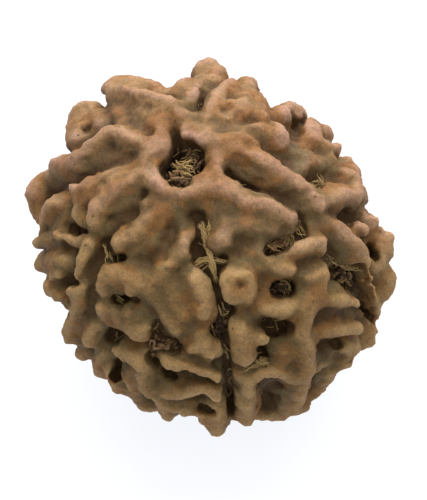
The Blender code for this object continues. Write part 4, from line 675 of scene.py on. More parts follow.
class Workshop:
    """Steps that several pieces share."""

    @staticmethod
    def place(name: str, data: bpy.types.ID) -> bpy.types.Object:
        """Put data in the scene as an object.

        Args:
            name: The object's name.
            data: Its mesh or curve.

        Returns:
            The object.
        """
        item = bpy.data.objects.new(name, data)
        bpy.context.scene.collection.objects.link(item)
        return item

    @staticmethod
    def curve(name: str, rolls: list[Roll]) -> bpy.types.Object:
        """Lay rolls in the scene as one curve object.

        Args:
            name: The object's name.
            rolls: The rolls, in millimetres.

        Returns:
            The object.
        """
        curve = bpy.data.curves.new(name, "CURVE")
        curve.dimensions = "3D"
        for roll in rolls:
            spline = curve.splines.new("POLY")
            spline.points.add(len(roll) - 1)
            for point, (place, radius) in zip(spline.points, roll):
                point.co = (*(place * MM), 1.0)
                point.radius = radius
        return Workshop.place(name, curve)

    @staticmethod
    def material(name: str) -> tuple[bpy.types.Material, Pad]:
        """Start a material.

        Args:
            name: The material's name.

        Returns:
            The material, and the pad to add nodes with.
        """
        material = bpy.data.materials.new(name)
        material.use_nodes = True
        material.node_tree.nodes.clear()
        return material, Pad(material.node_tree)

    @staticmethod
    def modify(item: bpy.types.Object, name: str, kind: str, **settings: object) -> bpy.types.Modifier:
        """Put a modifier on an object.

        Args:
            item: The object.
            name: The modifier's name.
            kind: The modifier's type.
            **settings: The modifier's own properties.

        Returns:
            The modifier.
        """
        modifier = item.modifiers.new(name, kind)
        for key, value in settings.items():
            setattr(modifier, key, value)
        return modifier

    @staticmethod
    def set_inputs(modifier: bpy.types.Modifier, tree: bpy.types.NodeTree, values: dict) -> None:
        """Give a Geometry Nodes modifier its tree and its inputs.

        Args:
            modifier: The modifier.
            tree: Its node tree.
            values: What each named input gets.
        """
        modifier.node_group = tree
        sockets = {item.name: item.identifier for item in tree.interface.items_tree
                   if item.item_type == "SOCKET" and item.in_out == "INPUT"}
        for name, value in values.items():
            modifier[sockets[name]] = value

    @staticmethod
    def bake(item: bpy.types.Object, name: str) -> bpy.types.Object:
        """Turn an object and its modifiers into a plain mesh piece.

        Args:
            item: The object, which is removed.
            name: The piece's name.

        Returns:
            The piece.
        """
        bpy.context.view_layer.update()
        graph = bpy.context.evaluated_depsgraph_get()
        mesh = bpy.data.meshes.new_from_object(item.evaluated_get(graph), depsgraph=graph)
        bpy.data.objects.remove(item, do_unlink=True)
        mesh.name = name
        return Workshop.place(name, mesh)

    @staticmethod
    def tree(name: str, inputs: dict[str, float | int | None]) -> tuple[Pad, dict]:
        """Start a Geometry Nodes tree with a geometry in and out.

        Args:
            name: The tree's name.
            inputs: Each named input's default, or None for a material.

        Returns:
            The pad to add nodes with, and the group's inputs by name.
        """
        kinds = {int: "NodeSocketInt", float: "NodeSocketFloat", type(None): "NodeSocketMaterial"}
        group = bpy.data.node_groups.new(name, "GeometryNodeTree")
        group.is_modifier = True
        for way in ("INPUT", "OUTPUT"):
            group.interface.new_socket(name="Geometry", in_out=way, socket_type="NodeSocketGeometry")
        for label, default in inputs.items():
            kind = kinds[type(default)]
            socket = group.interface.new_socket(name=label, in_out="INPUT", socket_type=kind)
            if default is not None:
                socket.default_value = default
        start = group.nodes.new("NodeGroupInput")
        return Pad(group), {socket.name: socket for socket in start.outputs if socket.name}

    @staticmethod
    def finish_tree(pad: Pad, geometry: Socket, material: object) -> bpy.types.NodeTree:
        """End a tree in Realize Instances and Set Material.

        Args:
            pad: The tree's pad.
            geometry: The geometry to hand out.
            material: The material, or the input that brings it.

        Returns:
            The finished tree.
        """
        real = pad.add("GeometryNodeRealizeInstances", {"Geometry": geometry})
        dressed = pad.add("GeometryNodeSetMaterial", {"Geometry": real, "Material": material})
        pad.add("NodeGroupOutput", {"Geometry": dressed})
        return pad.tree


@dataclass(frozen=True)
class StoneFinish:
    """The dried stone: pale pinkish crests, olive-brown slopes and nearly black hollows. The hollows
    darken with depth partly as stained material and partly as painted shade; creases, basins and the
    lower side are darkened as painted shade; the crests are paler partly from rubbed wear and partly
    as a painted highlight, pinkish on the upper side as painted light from above.

    Sizes are in millimetres.
    """

    crest: tuple = (0.232, 0.139, 0.066, 1.0)
    slope: tuple = (0.150, 0.082, 0.030, 1.0)
    web: tuple = (0.098, 0.055, 0.020, 1.0)
    # hollow and pit darken the deep places to nearly black, partly stained material and partly painted
    # shade
    hollow: tuple = (0.068, 0.044, 0.022, 1.0)
    pit: tuple = (0.028, 0.024, 0.022, 1.0)
    olive: tuple = (0.118, 0.083, 0.038, 1.0)
    orange: tuple = (0.185, 0.083, 0.025, 1.0)
    tan: tuple = (0.300, 0.192, 0.098, 1.0)
    # pale is the crests' pinkish colour on the upper side, a painted highlight from the light above
    pale: tuple = (0.300, 0.184, 0.130, 1.0)
    grime: tuple = (0.036, 0.024, 0.014, 1.0)
    # Warm brown of the painted shade in creases and broad basins
    shade_brown: tuple = (0.070, 0.035, 0.013, 1.0)
    # Multiplied over the lower side as painted shade, where the light reaches less
    lower_shade: tuple = (0.92, 0.94, 0.80, 1.0)
    glow_depth: tuple = (1.0, 0.42, 0.18)
    deepest: float = -3.6
    highest: float = 0.5
    # The upper side, its edge and how much the edge wavers set the painted highlight above and the painted
    # shade below
    upper_side: tuple = (0.0, 0.77, 0.64)
    upper_edge: tuple = (-4.0, 7.0)
    upper_waver: float = 3.0
    broad_size: float = 4.5
    patch_size: float = 1.1
    tint_size: float = 2.4
    tint_shift: tuple = (0.05, 0.02, 0.01)
    grain_size: float = 0.34
    speck_size: float = 0.16
    pore_size: float = 0.85
    bump_depth: float = 0.13
    glow_size: float = 0.7

    def build(self) -> bpy.types.Material:
        """Make the material.

        Returns:
            The stone's material.
        """
        material, pad = Workshop.material("dried_stone_skin")
        place = pad.add("ShaderNodeTexCoord", out="Object")
        height, crest, basin = pad.mark("height"), pad.mark("crest"), pad.mark("basin")
        broad = pad.noise(place, self.broad_size * MM, 2.0)
        patch = pad.noise(place, self.patch_size * MM, 3.0, 0.6)
        tint = pad.noise(pad.vector("ADD", place, self.tint_shift), self.tint_size * MM, 2.0, 0.5)
        grain = pad.noise(place, self.grain_size * MM, 3.0, 0.7)
        speck = pad.noise(place, self.speck_size * MM, 2.0, 0.6)
        # How far a place lies toward the upper side, which takes the painted light and shade
        upper = pad.vector("DOT_PRODUCT", pad.vector("SUBTRACT", place, Vector(SEED_MIDDLE) * MM),
                           self.upper_side)
        waver = pad.span(broad, 0.3, 0.7, -self.upper_waver * MM, self.upper_waver * MM)
        upper = pad.span(pad.plus(upper, waver), self.upper_edge[0] * MM, self.upper_edge[1] * MM)

        # Colour by height: hollows, pits and the stalk-end hole darken with depth to nearly black, partly
        # stained material and partly painted shade
        stirred = pad.plus(height, pad.span(patch, 0.25, 0.75, -0.35, 0.35))
        scaled = pad.span(stirred, self.deepest, self.highest)
        scaled.node.interpolation_type = "LINEAR"
        colour = pad.ramp(scaled, [(0.0, self.pit), (0.36, self.pit), (0.52, self.hollow),
                                   (0.66, self.web), (0.83, self.slope), (0.97, self.crest)])
        webbed = pad.times(pad.span(tint, 0.42, 0.58), pad.span(height, 0.2, -0.7, 0.0, 0.8))
        colour = pad.mix(pad.times(webbed, pad.span(height, -2.2, -1.4)), colour, self.olive)
        flank = pad.times(pad.span(tint, 0.54, 0.42), pad.span(height, -1.5, -0.4, 0.2, 0.62))
        colour = pad.mix(flank, colour, self.orange)
        # Paler crests: partly rubbed wear and partly a painted highlight; pinkish pale on the upper side is
        # painted light from above, tan lower down
        worn_and_highlit = pad.times(pad.span(crest, 0.08, 0.30), pad.span(height, -1.4, -0.2, 0.3, 0.9))
        colour = pad.mix(worn_and_highlit, colour, pad.mix(upper, self.tan, self.pale))
        # Painted shade: concave creases and broad basins are darkened toward warm brown
        crease_shade = pad.times(pad.span(crest, 0.02, -0.15), 0.66)
        colour = pad.mix(crease_shade, colour, self.shade_brown)
        colour = pad.mix(pad.times(pad.span(basin, 0.10, -0.42), 0.68), colour, self.shade_brown)
        # Painted shade: the lower side of the seed is darkened
        colour = pad.mix(pad.span(upper, 1.0, 0.0), colour, pad.mix(1.0, colour, self.lower_shade, "MULTIPLY"))
        shade = pad.times(pad.span(grain, 0.3, 0.7, 0.86, 1.13), pad.span(speck, 0.3, 0.7, 0.83, 1.15))
        colour = pad.mix(1.0, colour, shade, "MULTIPLY")

        pores = pad.add("ShaderNodeTexVoronoi", {"Vector": place, "Scale": 1.0 / (self.pore_size * MM)},
                        out="Distance")
        pore = pad.times(pad.span(pores, 0.17, 0.08), pad.span(patch, 0.52, 0.58))
        colour = pad.mix(pad.times(pore, 0.7), colour, self.grime)

        bumps = pad.plus(pad.times(grain, 0.62), pad.times(speck, 0.38))
        bumps = pad.minus(bumps, pad.times(pore, 0.5))
        normal = pad.add("ShaderNodeBump", {
            "Height": bumps, "Distance": self.bump_depth * MM, "Strength": 0.65})
        pad.coat({"Base Color": colour, "Normal": normal, "IOR": 1.42, "Specular IOR Level": 0.32,
                  "Roughness": pad.span(grain, 0.2, 0.8, 0.62, 0.86), "Subsurface Weight": 0.45,
                  "Subsurface Radius": self.glow_depth, "Subsurface Scale": self.glow_size * MM})
        return material


@dataclass(frozen=True)
class FibreFinish:
    """Dry plant fibre, straw yellow with darker and paler strands.

    Sizes are in millimetres.
    """

    straw: tuple = (0.35, 0.235, 0.088, 1.0)
    bleached: tuple = (0.47, 0.35, 0.155, 1.0)
    brown: tuple = (0.075, 0.046, 0.020, 1.0)
    fleck_size: float = 0.25
    bump_depth: float = 0.03

    def build(self, name: str, paleness: float) -> bpy.types.Material:
        """Make the material.

        Args:
            name: The material's name.
            paleness: From 0 for brown fibre to 1 for straw.

        Returns:
            The fibre's material.
        """
        material, pad = Workshop.material(name)
        fleck = pad.noise(pad.add("ShaderNodeTexCoord", out="Object"), self.fleck_size * MM, 2.0)
        shade = pad.plus(pad.times(pad.mark("strand"), 0.6), pad.times(fleck, 0.4))
        colour = pad.ramp(shade, [(0.0, self.brown), (0.55 - 0.35 * paleness, self.brown),
                                  (0.75 - 0.30 * paleness, self.straw), (1.0, self.bleached)])
        normal = pad.add("ShaderNodeBump", {
            "Height": fleck, "Distance": self.bump_depth * MM, "Strength": 0.6})
        pad.coat({"Base Color": colour, "Normal": normal, "Roughness": 0.7, "Specular IOR Level": 0.3})
        return material


@dataclass(frozen=True)
class GroundFinish:
    """A plain white light table."""

    colour: tuple = (0.12, 0.12, 0.12, 1.0)
    glow: tuple = (0.93, 0.955, 1.0, 1.0)
    glow_strength: float = 0.93

    def build(self) -> bpy.types.Material:
        """Make the material.

        Returns:
            The ground's material.
        """
        material, pad = Workshop.material("pale_ground")
        pad.coat({"Base Color": self.colour, "Roughness": 0.9, "Specular IOR Level": 0.1,
                  "Emission Color": self.glow, "Emission Strength": self.glow_strength})
        return material


@dataclass(frozen=True)
class LayoutView:
    """The view in which the relief is laid out, from the front and above, in millimetres."""

    elevation: float = math.radians(50.0)
    distance: float = 250.0
    low_sides: tuple = tuple(LOW_SIDES)

    def to_seed(self, point: Vector) -> Vector:
        """Turn (right, up, toward the viewer) into the seed's own X, Y, Z.

        Args:
            point: The point in the view.

        Returns:
            The point on the seed's axes.
        """
        up = Vector((0.0, math.sin(self.elevation), math.cos(self.elevation)))
        toward = Vector((0.0, -math.cos(self.elevation), math.sin(self.elevation)))
        return Vector((point.x, 0.0, 0.0)) + up * point.y + toward * point.z

    def from_seed(self, point: Vector) -> Vector:
        """Turn X, Y, Z from the seed's middle into (right, up, toward the viewer).

        Args:
            point: The point on the seed's axes.

        Returns:
            The point in the view.
        """
        up = self.to_seed(Vector((0.0, 1.0, 0.0)))
        toward = self.to_seed(Vector((0.0, 0.0, 1.0)))
        return Vector((point.x, point.dot(up), point.dot(toward)))

    def low_side_loss(self, direction: Vector) -> float:
        """Tell how much lower the seed is in a view direction because of its lower sides.

        Args:
            direction: A unit direction in the view.

        Returns:
            The loss in millimetres.
        """
        across = math.hypot(direction.x, direction.y)
        heading = math.atan2(direction.y, direction.x)
        return across ** LOW_SIDE_FADE * sum(
            loss * max(0.0, math.cos(heading - math.radians(turn))) ** narrowness
            for turn, loss, narrowness in self.low_sides)

    def seen_point(self, right: float, up: float, distance: float) -> Vector:
        """Find the point at a distance from the seed's middle that shows at (right, up).

        Args:
            right: How far to the right it shows.
            up: How far above the middle it shows.
            distance: Its distance from the middle, before the low sides' loss.

        Returns:
            The point on the seed's axes. A place outside that distance lies on the outline.
        """
        depth = 0.0
        for _ in range(SIGHT_ROUNDS):
            near = 1.0 - depth / self.distance
            spot = Vector((right * near, up * near, depth))
            reach = distance - self.low_side_loss(spot.normalized())
            depth = (depth + math.sqrt(max(reach ** 2 - spot.x ** 2 - spot.y ** 2, 0.0))) / 2.0
        return self.to_seed(spot)

    def rim_paths(self, count: int, depths: tuple, *ranges: tuple) -> list[tuple]:
        """Draw short random paths just behind the outline.

        Args:
            count: How many there are round the seed.
            depths: The range of a path's first depth, as a share of the radius.
            *ranges: The ranges of the values that are drawn for each path.

        Returns:
            Each path's values, and its points as (unit direction in the view, depth).
        """
        rng = random.Random(RIM_SEED)
        paths = []
        for index in range(count):
            turn = math.tau * (index + rng.uniform(*RIM_PLACES)) / count
            depth = rng.uniform(*depths)
            values = [rng.uniform(*limits) for limits in ranges]
            points = []
            for _ in range(rng.choice(RIM_POINTS)):
                across = math.sqrt(1.0 - depth ** 2)
                points.append((Vector((across * math.cos(turn), across * math.sin(turn), depth)), depth))
                turn += rng.uniform(-RIM_TURN, RIM_TURN)
                depth -= rng.uniform(*RIM_STEPS)
            paths.append((values, points))
        return paths


@dataclass(frozen=True)
class StalkPoles:
    """The stalk axis of the seed, with its faces and grooves set out round it."""

    view: LayoutView
    axis: tuple = STALK_AXIS
    groove_turns: tuple = tuple(GROOVE_TURNS)

    def frame(self) -> tuple[Vector, Vector, Vector]:
        """Give the axis, straight down from it and across it, in the view.

        Returns:
            The three unit directions.
        """
        axis = Vector(self.axis).normalized()
        down = Vector((0.0, -1.0, 0.0))
        down = (down - axis * down.dot(axis)).normalized()
        return axis, down, axis.cross(down)

    def direction(self, turn: float, fall: float) -> Vector:
        """Give a view direction.

        Args:
            turn: Its turn about the stalk axis, in degrees.
            fall: Its fall from the stalk end, in degrees.

        Returns:
            The unit direction.
        """
        axis, down, across = self.frame()
        turn, fall = math.radians(turn), math.radians(fall)
        return axis * math.cos(fall) + (down * math.cos(turn) + across * math.sin(turn)) * math.sin(fall)

    def is_far(self, turn: float, fall: float) -> bool:
        """Tell whether a place lies behind the outline of the layout view."""
        return self.direction(turn, fall).z * CREST_RADIUS < FAR_SIDE_DEPTH

    def spans(self) -> list[tuple[float, float]]:
        """Give each face's first turn and its width in degrees."""
        following = list(self.groove_turns[1:]) + [self.groove_turns[0] + 360.0]
        return [(start, end - start) for start, end in zip(self.groove_turns, following)]

    def share(self, place: Vector, start: float, width: float) -> tuple[float, float]:
        """Give a place as its share of a face's width and its fall from the stalk end.

        Args:
            place: The place on the seed's axes.
            start: The face's first turn.
            width: The face's width in degrees.

        Returns:
            The share and the fall.
        """
        direction = self.view.from_seed(place).normalized()
        axis, down, across = self.frame()
        turn = math.degrees(math.atan2(direction.dot(across), direction.dot(down)))
        fall = math.degrees(math.acos(direction.dot(axis)))
        return ((turn - start + 180.0) % 360.0 - 180.0) / width, fall


@dataclass
class Ridges:
    """The rolls of clay that make the ridges, tongues and knobs."""

    view: LayoutView
    poles: StalkPoles
    far_pits: list = field(default_factory=list)

    def with_feet(self, roll: Roll) -> list[Roll]:
        """Stand a roll on wider ones below it, until it meets the core, so that it has shoulders.

        Args:
            roll: The roll.

        Returns:
            The roll and its feet.
        """
        rolls = [roll]
        while any(place.length - radius > CORE_RADIUS - DEEPEST_LOSS - FOOT_SINK for place, radius in roll):
            roll = [(place.normalized() * (place.length - radius * FOOT_DROP),
                     max(radius, min(radius * FOOT_SPREAD, FOOT_WIDEST)) if radius > BLADE_RADIUS
                     else radius) for place, radius in roll]
            rolls.append(roll)
        return rolls

    def front(self) -> list[Roll]:
        """Turn the listed ridges into rolls.

        Returns:
            The rolls.
        """
        rolls = []
        for ridge in (ridge for ridges in FACE_RIDGES.values() for ridge in ridges):
            roll = []
            for right, up, radius, lift in ridge:
                crest = CREST_RADIUS + CREST_RISE + (lift if lift > 0.0 else lift * WEB_DEEPENING)
                radius *= CREST_NARROWING
                roll.append((self.view.seen_point(right, up, crest - radius), radius))
            rolls += self.with_feet(roll)
        return rolls

    def rest_knobs(self) -> list[Roll]:
        """Stand three low knobs round the seed's weight.

        Returns:
            Their rolls.
        """
        height = SEED_MIDDLE[2] - REST_KNOB_RADIUS + REST_KNOB_WEAR
        knobs = []
        for turn in map(math.radians, REST_KNOB_TURNS):
            place = Vector((REST_KNOB_OFFSET * math.cos(turn), REST_KNOB_OFFSET * math.sin(turn), -height))
            knobs += self.with_feet([(place, REST_KNOB_RADIUS)])
        return knobs

    def far_point(self, turn: float, fall: float, radius: float, lift: float) -> Vector:
        """Place a roll's axis on the far side, low enough not to fill the outline's notches.

        Args:
            turn: The turn about the stalk axis.
            fall: The fall from the stalk end.
            radius: The roll's radius.
            lift: How far its top stands over the crest radius.

        Returns:
            The place on the seed's axes.
        """
        direction = self.poles.direction(turn, fall)
        loss = self.view.low_side_loss(direction)
        reach = CREST_RADIUS + lift - loss
        reach = min(reach, math.sqrt((NOTCH_RADIUS - loss) ** 2 + (direction.z * reach) ** 2))
        return self.view.to_seed(direction * (reach - radius))

    def rim(self) -> list[Roll]:
        """Lay short low ridges behind the outline, where the two sides' ridges leave the core bare.

        Returns:
            The rolls.
        """
        rolls = []
        for (radius,), points in self.view.rim_paths(RIM_RIDGES, RIM_RIDGE_DEPTHS, RIM_RIDGE_RADII):
            roll = []
            for direction, depth in points:
                loss = self.view.low_side_loss(direction)
                reach = min(CREST_RADIUS - loss, math.hypot(NOTCH_RADIUS - loss, depth * CREST_RADIUS))
                roll.append((self.view.to_seed(direction * (reach - radius)), radius))
            if min(place.z for place, _ in roll) > RIM_LOWEST * CREST_RADIUS:
                rolls += self.with_feet(roll)
        return rolls

    def moved(self, sample: tuple, span: tuple[float, float], flipped: bool, reflected: bool,
              shift: float) -> tuple[float, float] | None:
        """Move a face's point to another face's span.

        Args:
            sample: The point, which starts with its share of the width and its fall.
            span: The other face's first turn and width.
            flipped: Whether the face is turned left to right.
            reflected: Whether it is mirrored across the seed's waist.
            shift: How much further it falls where it isn't mirrored.

        Returns:
            Its turn and fall, or nothing where it isn't on the far side.
        """
        share = min(max(sample[0], EDGE_SHARE), 1.0 - EDGE_SHARE)
        if flipped:
            share = 1.0 - share
        fall = 180.0 - sample[1] if reflected else sample[1] + shift
        turn = span[0] + share * span[1]
        if (fall > FAR_SEAM) != reflected or not self.poles.is_far(turn, fall):
            return None
        return turn, fall

    def samples(self, table: list, start: float, width: float, is_pit: bool) -> list[list[tuple]]:
        """Give listed points as (share, fall, radius, lift or floor).

        Args:
            table: The lists of (right, up, radius, lift or floor).
            start: The face's first turn.
            width: The face's width.
            is_pit: Whether they are pits, of which only those inside the face are kept.

        Returns:
            The points of each ridge or pit.
        """
        found = []
        for entry in table:
            points = []
            for right, up, radius, last in entry:
                distance = MOUTH_RADIUS if is_pit else CREST_RADIUS + last - radius
                place = self.view.seen_point(right, up, distance)
                points.append((*self.poles.share(place, start, width), radius, last))
            if not is_pit or all(EDGE_SHARE < share < 1.0 - EDGE_SHARE and fall > NEAREST_PIT_FALL
                                 for share, fall, _, _ in points):
                found.append(points)
        return found

    def far(self) -> list[Roll]:
        """Lay the far side's ridges and pits by rule from the two listed front faces.

        Returns:
            The rolls. The pits are kept in far_pits.
        """
        rng = random.Random(FAR_SIDE_SEED)
        rolls = []
        for index, span in enumerate(self.poles.spans()):
            name, start, width = COPIED_FACES[index % 2]
            thickness = math.sqrt(span[1] / width)
            shift = rng.uniform(-FACE_SHIFT, FACE_SHIFT)
            for reflected in (False, True):
                flipped = (index // 2 + reflected) % 2 == 1
                for points in self.samples(FACE_RIDGES[name], start, width, False):
                    spots = [self.moved(point, span, flipped, reflected, shift) for point in points]
                    roll = [(self.far_point(*spot, radius * thickness, lift), radius * thickness)
                            for spot, (_, _, radius, lift) in zip(spots, points) if spot]
                    rolls += self.with_feet(roll) if roll else []
                for points in self.samples(FRONT_PITS, start, width, True):
                    spots = [self.moved(point, span, flipped, reflected, shift) for point in points]
                    if all(spots):
                        self.far_pits.append([
                            (self.view.to_seed(self.poles.direction(*spot)), radius, floor)
                            for spot, (_, _, radius, floor) in zip(spots, points)])
            rolls += self.far_crest(index, span)
        return rolls

    def far_crest(self, index: int, span: tuple[float, float]) -> list[Roll]:
        """Lay the wavy crest along the middle of a face.

        Args:
            index: The face's number.
            span: The face's first turn and width.

        Returns:
            The crest's rolls.
        """
        crest = []
        fall = FIRST_FALL
        while fall < LAST_FALL:
            wave = CREST_WAVE * math.sin(index * CREST_PHASE + fall * CREST_PACE)
            turn = span[0] + span[1] * (0.5 + wave)
            if self.poles.is_far(turn, fall):
                place = self.far_point(turn, fall, FAR_CREST_HALF_WIDTH, FAR_CREST_LIFT)
                crest.append((place, FAR_CREST_HALF_WIDTH))
            fall += CREST_STEP
        return self.with_feet(crest) if len(crest) > 1 else []


@dataclass
class Hollows:
    """The cutting rolls for the grooves, caves, pits and the stalk-end hole."""

    view: LayoutView
    poles: StalkPoles

    def cutting_roll(self, foot: Vector, heading: Vector, radius: float) -> Roll:
        """Make a roll that stands on a hollow's floor and flares outwards along its heading.

        Args:
            foot: The hollow's floor.
            heading: The way out.
            radius: The hollow's half width.

        Returns:
            The roll.
        """
        slope = foot.normalized().dot(heading)
        lip = (LIP_RADIUS - foot.length) / slope
        reach = (CUTTER_REACH - foot.length) / slope
        return [(foot + heading * radius * CUTTER_FOOT, radius * CUTTER_FOOT),
                (foot + heading * max(lip, radius), radius),
                (foot + heading * max(reach, radius * CUTTER_SHORTEST), radius * CUTTER_FLARE)]

    def along(self, path: list[Cut], spacing: float) -> list[Roll]:
        """Stand cutting rolls side by side along a path.

        Args:
            path: The path's (foot, heading, radius).
            spacing: How far apart they stand.

        Returns:
            The rolls.
        """
        cutters = []
        for (start, start_heading, start_radius), (end, end_heading, end_radius) in zip(path, path[1:]):
            gap = max((end - start).length, (end_heading - start_heading).length * LIP_RADIUS)
            steps = max(1, round(gap / spacing))
            for step in range(steps):
                share = step / steps
                heading = start_heading.lerp(end_heading, share).normalized()
                radius = start_radius + (end_radius - start_radius) * share
                cutters.append(self.cutting_roll(start.lerp(end, share), heading, radius))
        cutters.append(self.cutting_roll(*path[-1]))
        return cutters

    def smooth(self, path: list[Cut], rounds: int = 2) -> list[Cut]:
        """Round the corners of a path by cutting them.

        Args:
            path: The path's (foot, heading, radius).
            rounds: How often its corners are cut.

        Returns:
            The rounder path.
        """
        for _ in range(rounds):
            rounded = [path[0]]
            for first, second in zip(path, path[1:]):
                for share in CORNER_SHARES:
                    rounded.append((first[0].lerp(second[0], share),
                                    first[1].lerp(second[1], share).normalized(),
                                    first[2] + (second[2] - first[2]) * share))
            rounded.append(path[-1])
            path = rounded
        return path

    def seen_cut(self, right: float, up: float, radius: float, floor: float, lean: float) -> Cut:
        """Place a cutting roll whose mouth shows at (right, up), leaning toward the viewer.

        Args:
            right: How far to the right it shows.
            up: How far above the middle it shows.
            radius: Its half width.
            floor: How far its floor is from the seed's middle.
            lean: How much it leans.

        Returns:
            Its foot, heading and radius.
        """
        mouth = self.view.seen_point(right, up, MOUTH_RADIUS)
        toward = self.view.to_seed(Vector((0.0, 0.0, 1.0)))
        heading = mouth.normalized().lerp(toward, lean).normalized()
        foot = mouth - heading * (mouth.length - floor) / mouth.normalized().dot(heading)
        return foot, heading, radius

    def front(self) -> list[Roll]:
        """Make the cutting rolls for the listed grooves, pits and the stalk-end hole.

        Returns:
            The rolls.
        """
        cutters = []
        for half_width, floor, groove in FRONT_GROOVES:
            floor += GROOVE_FILLING * (MOUTH_RADIUS - floor)
            path = [self.seen_cut(right, up, half_width, floor, GROOVE_LEAN) for right, up in groove]
            cutters += self.along(self.smooth(path), half_width)
        shallow = [[(right, up, radius, floor + PIT_FILLING * max(MOUTH_RADIUS - floor, 0.0))
                    for right, up, radius, floor in pit] for pit in FRONT_PITS]
        for pit in shallow + HOLE_PITS:
            path = [self.seen_cut(right, up, radius, floor, PIT_LEAN) for right, up, radius, floor in pit]
            cutters += self.along(self.smooth(path), min(entry[2] for entry in path) * CUTTER_SPACING)
        for right, up, radius, depth in SIGHT_CUTS:
            cutter = []
            for end in (depth, CUTTER_REACH):
                spot = Vector((right, up, 0.0)) * (1.0 - end / self.view.distance) + Vector((0.0, 0.0, end))
                cutter.append((self.view.to_seed(spot), radius))
            cutters.append(cutter)
        return cutters

    def rim(self) -> list[Roll]:
        """Make short slanting hollows just behind the outline, where the two sides' ridges meet.

        Returns:
            The rolls.
        """
        cutters = []
        for (floor, radius), points in self.view.rim_paths(RIM_CUTS, RIM_DEPTHS, RIM_FLOORS, RIM_RADII):
            path = []
            for direction, _ in points:
                heading = self.view.to_seed(direction)
                path.append((heading * (floor - self.view.low_side_loss(direction)), heading, radius))
            if min(heading.z for _, heading, _ in path) > RIM_LOWEST:
                cutters += self.along(self.smooth(path), radius * CUTTER_SPACING)
        return cutters

    def far(self, pits: list) -> list[Roll]:
        """Make the cutting rolls for the far side.

        Args:
            pits: The pits that the far side's faces have.

        Returns:
            The rolls.
        """
        cutters = []
        for index, turn in enumerate(self.poles.groove_turns):
            path = []
            fall = FIRST_FALL
            while fall < LAST_FALL:
                wavy = turn + GROOVE_WAVE * math.sin(index * GROOVE_PHASE + fall * GROOVE_PACE)
                if self.poles.is_far(wavy, fall):
                    direction = self.view.to_seed(self.poles.direction(wavy, fall))
                    path.append((direction * GROOVE_FLOOR, direction, GROOVE_HALF_WIDTH))
                fall += GROOVE_STEP
            if len(path) > 1:
                cutters += self.along(path, GROOVE_HALF_WIDTH)
        for pit in pits:
            path = [(direction * floor, direction, radius) for direction, radius, floor in pit]
            cutters += self.along(path, min(entry[2] for entry in path) * CUTTER_SPACING)
        return cutters


@dataclass
class Clay:
    """Turns rolls into meshes."""

    view: LayoutView

    def flowing(self, roll: Roll) -> Roll:
        """Lay more points between a roll's own on a smooth curve through them.

        Args:
            roll: The roll.

        Returns:
            The finer roll.
        """
        if len(roll) < 3:
            return list(roll)
        places = [place for place, _ in roll]
        ends = [places[0] * 2.0 - places[1]] + places + [places[-1] * 2.0 - places[-2]]
        flowing = []
        for index in range(len(roll) - 1):
            before, start, end, after = ends[index:index + 4]
            for step in range(CURVE_STEPS):
                share = step / CURVE_STEPS
                bend = (before * -share * (1.0 - share) ** 2
                        + start * (2.0 - 5.0 * share ** 2 + 3.0 * share ** 3)
                        + end * share * (1.0 + 4.0 * share - 3.0 * share ** 2)
                        - after * share ** 2 * (1.0 - share)) * 0.5
                flowing.append((bend, roll[index][1] + (roll[index + 1][1] - roll[index][1]) * share))
        flowing.append(roll[-1])
        return flowing

    def rounded(self, roll: Roll) -> Roll:
        """Close both ends of a roll with half a ball.

        Args:
            roll: The roll.

        Returns:
            The closed roll.
        """
        if len(roll) == 1:
            place, radius = roll[0]
            nudge = place.normalized() * BALL_NUDGE
            roll = [(place - nudge, radius), (place + nudge, radius)]
        points = self.flowing(roll)
        for _ in range(2):
            (place, radius), (neighbour, _) = points[-1], points[-2]
            heading = (place - neighbour).normalized()
            for angle in map(math.radians, CAP_ANGLES):
                points.append((place + heading * radius * math.sin(angle), radius * math.cos(angle)))
            points.reverse()
        return points

    def mesh(self, name: str, rolls: list[Roll], core_radius: float = 0.0) -> bpy.types.Mesh:
        """Make one mesh of overlapping rolls round an optional core ball.

        Args:
            name: The mesh's name.
            rolls: The rolls.
            core_radius: The core's radius, or 0 for no core.

        Returns:
            The mesh, with the seed's middle where it stands over the ground.
        """
        guide = Workshop.curve(name + "_rolls", [self.rounded(roll) for roll in rolls])
        guide.data.bevel_depth = MM
        guide.data.bevel_resolution = ROLL_RESOLUTION
        guide.data.use_fill_caps = True
        bpy.context.view_layer.update()
        tubes = bpy.data.meshes.new_from_object(guide.evaluated_get(bpy.context.evaluated_depsgraph_get()))
        bpy.data.objects.remove(guide, do_unlink=True)
        shape = bmesh.new()
        shape.from_mesh(tubes)
        bpy.data.meshes.remove(tubes)
        if core_radius:
            core = bmesh.ops.create_icosphere(shape, subdivisions=CORE_SUBDIVISIONS, radius=core_radius)
            for vertex in core["verts"]:
                direction = vertex.co.normalized()
                reach = core_radius - self.view.low_side_loss(direction)
                vertex.co = self.view.to_seed(direction * reach) * MM
        bmesh.ops.remove_doubles(shape, verts=shape.verts, dist=WELD_GAP)
        bmesh.ops.translate(shape, verts=shape.verts, vec=Vector(SEED_MIDDLE) * MM)
        mesh = bpy.data.meshes.new(name)
        shape.to_mesh(mesh)
        shape.free()
        return mesh


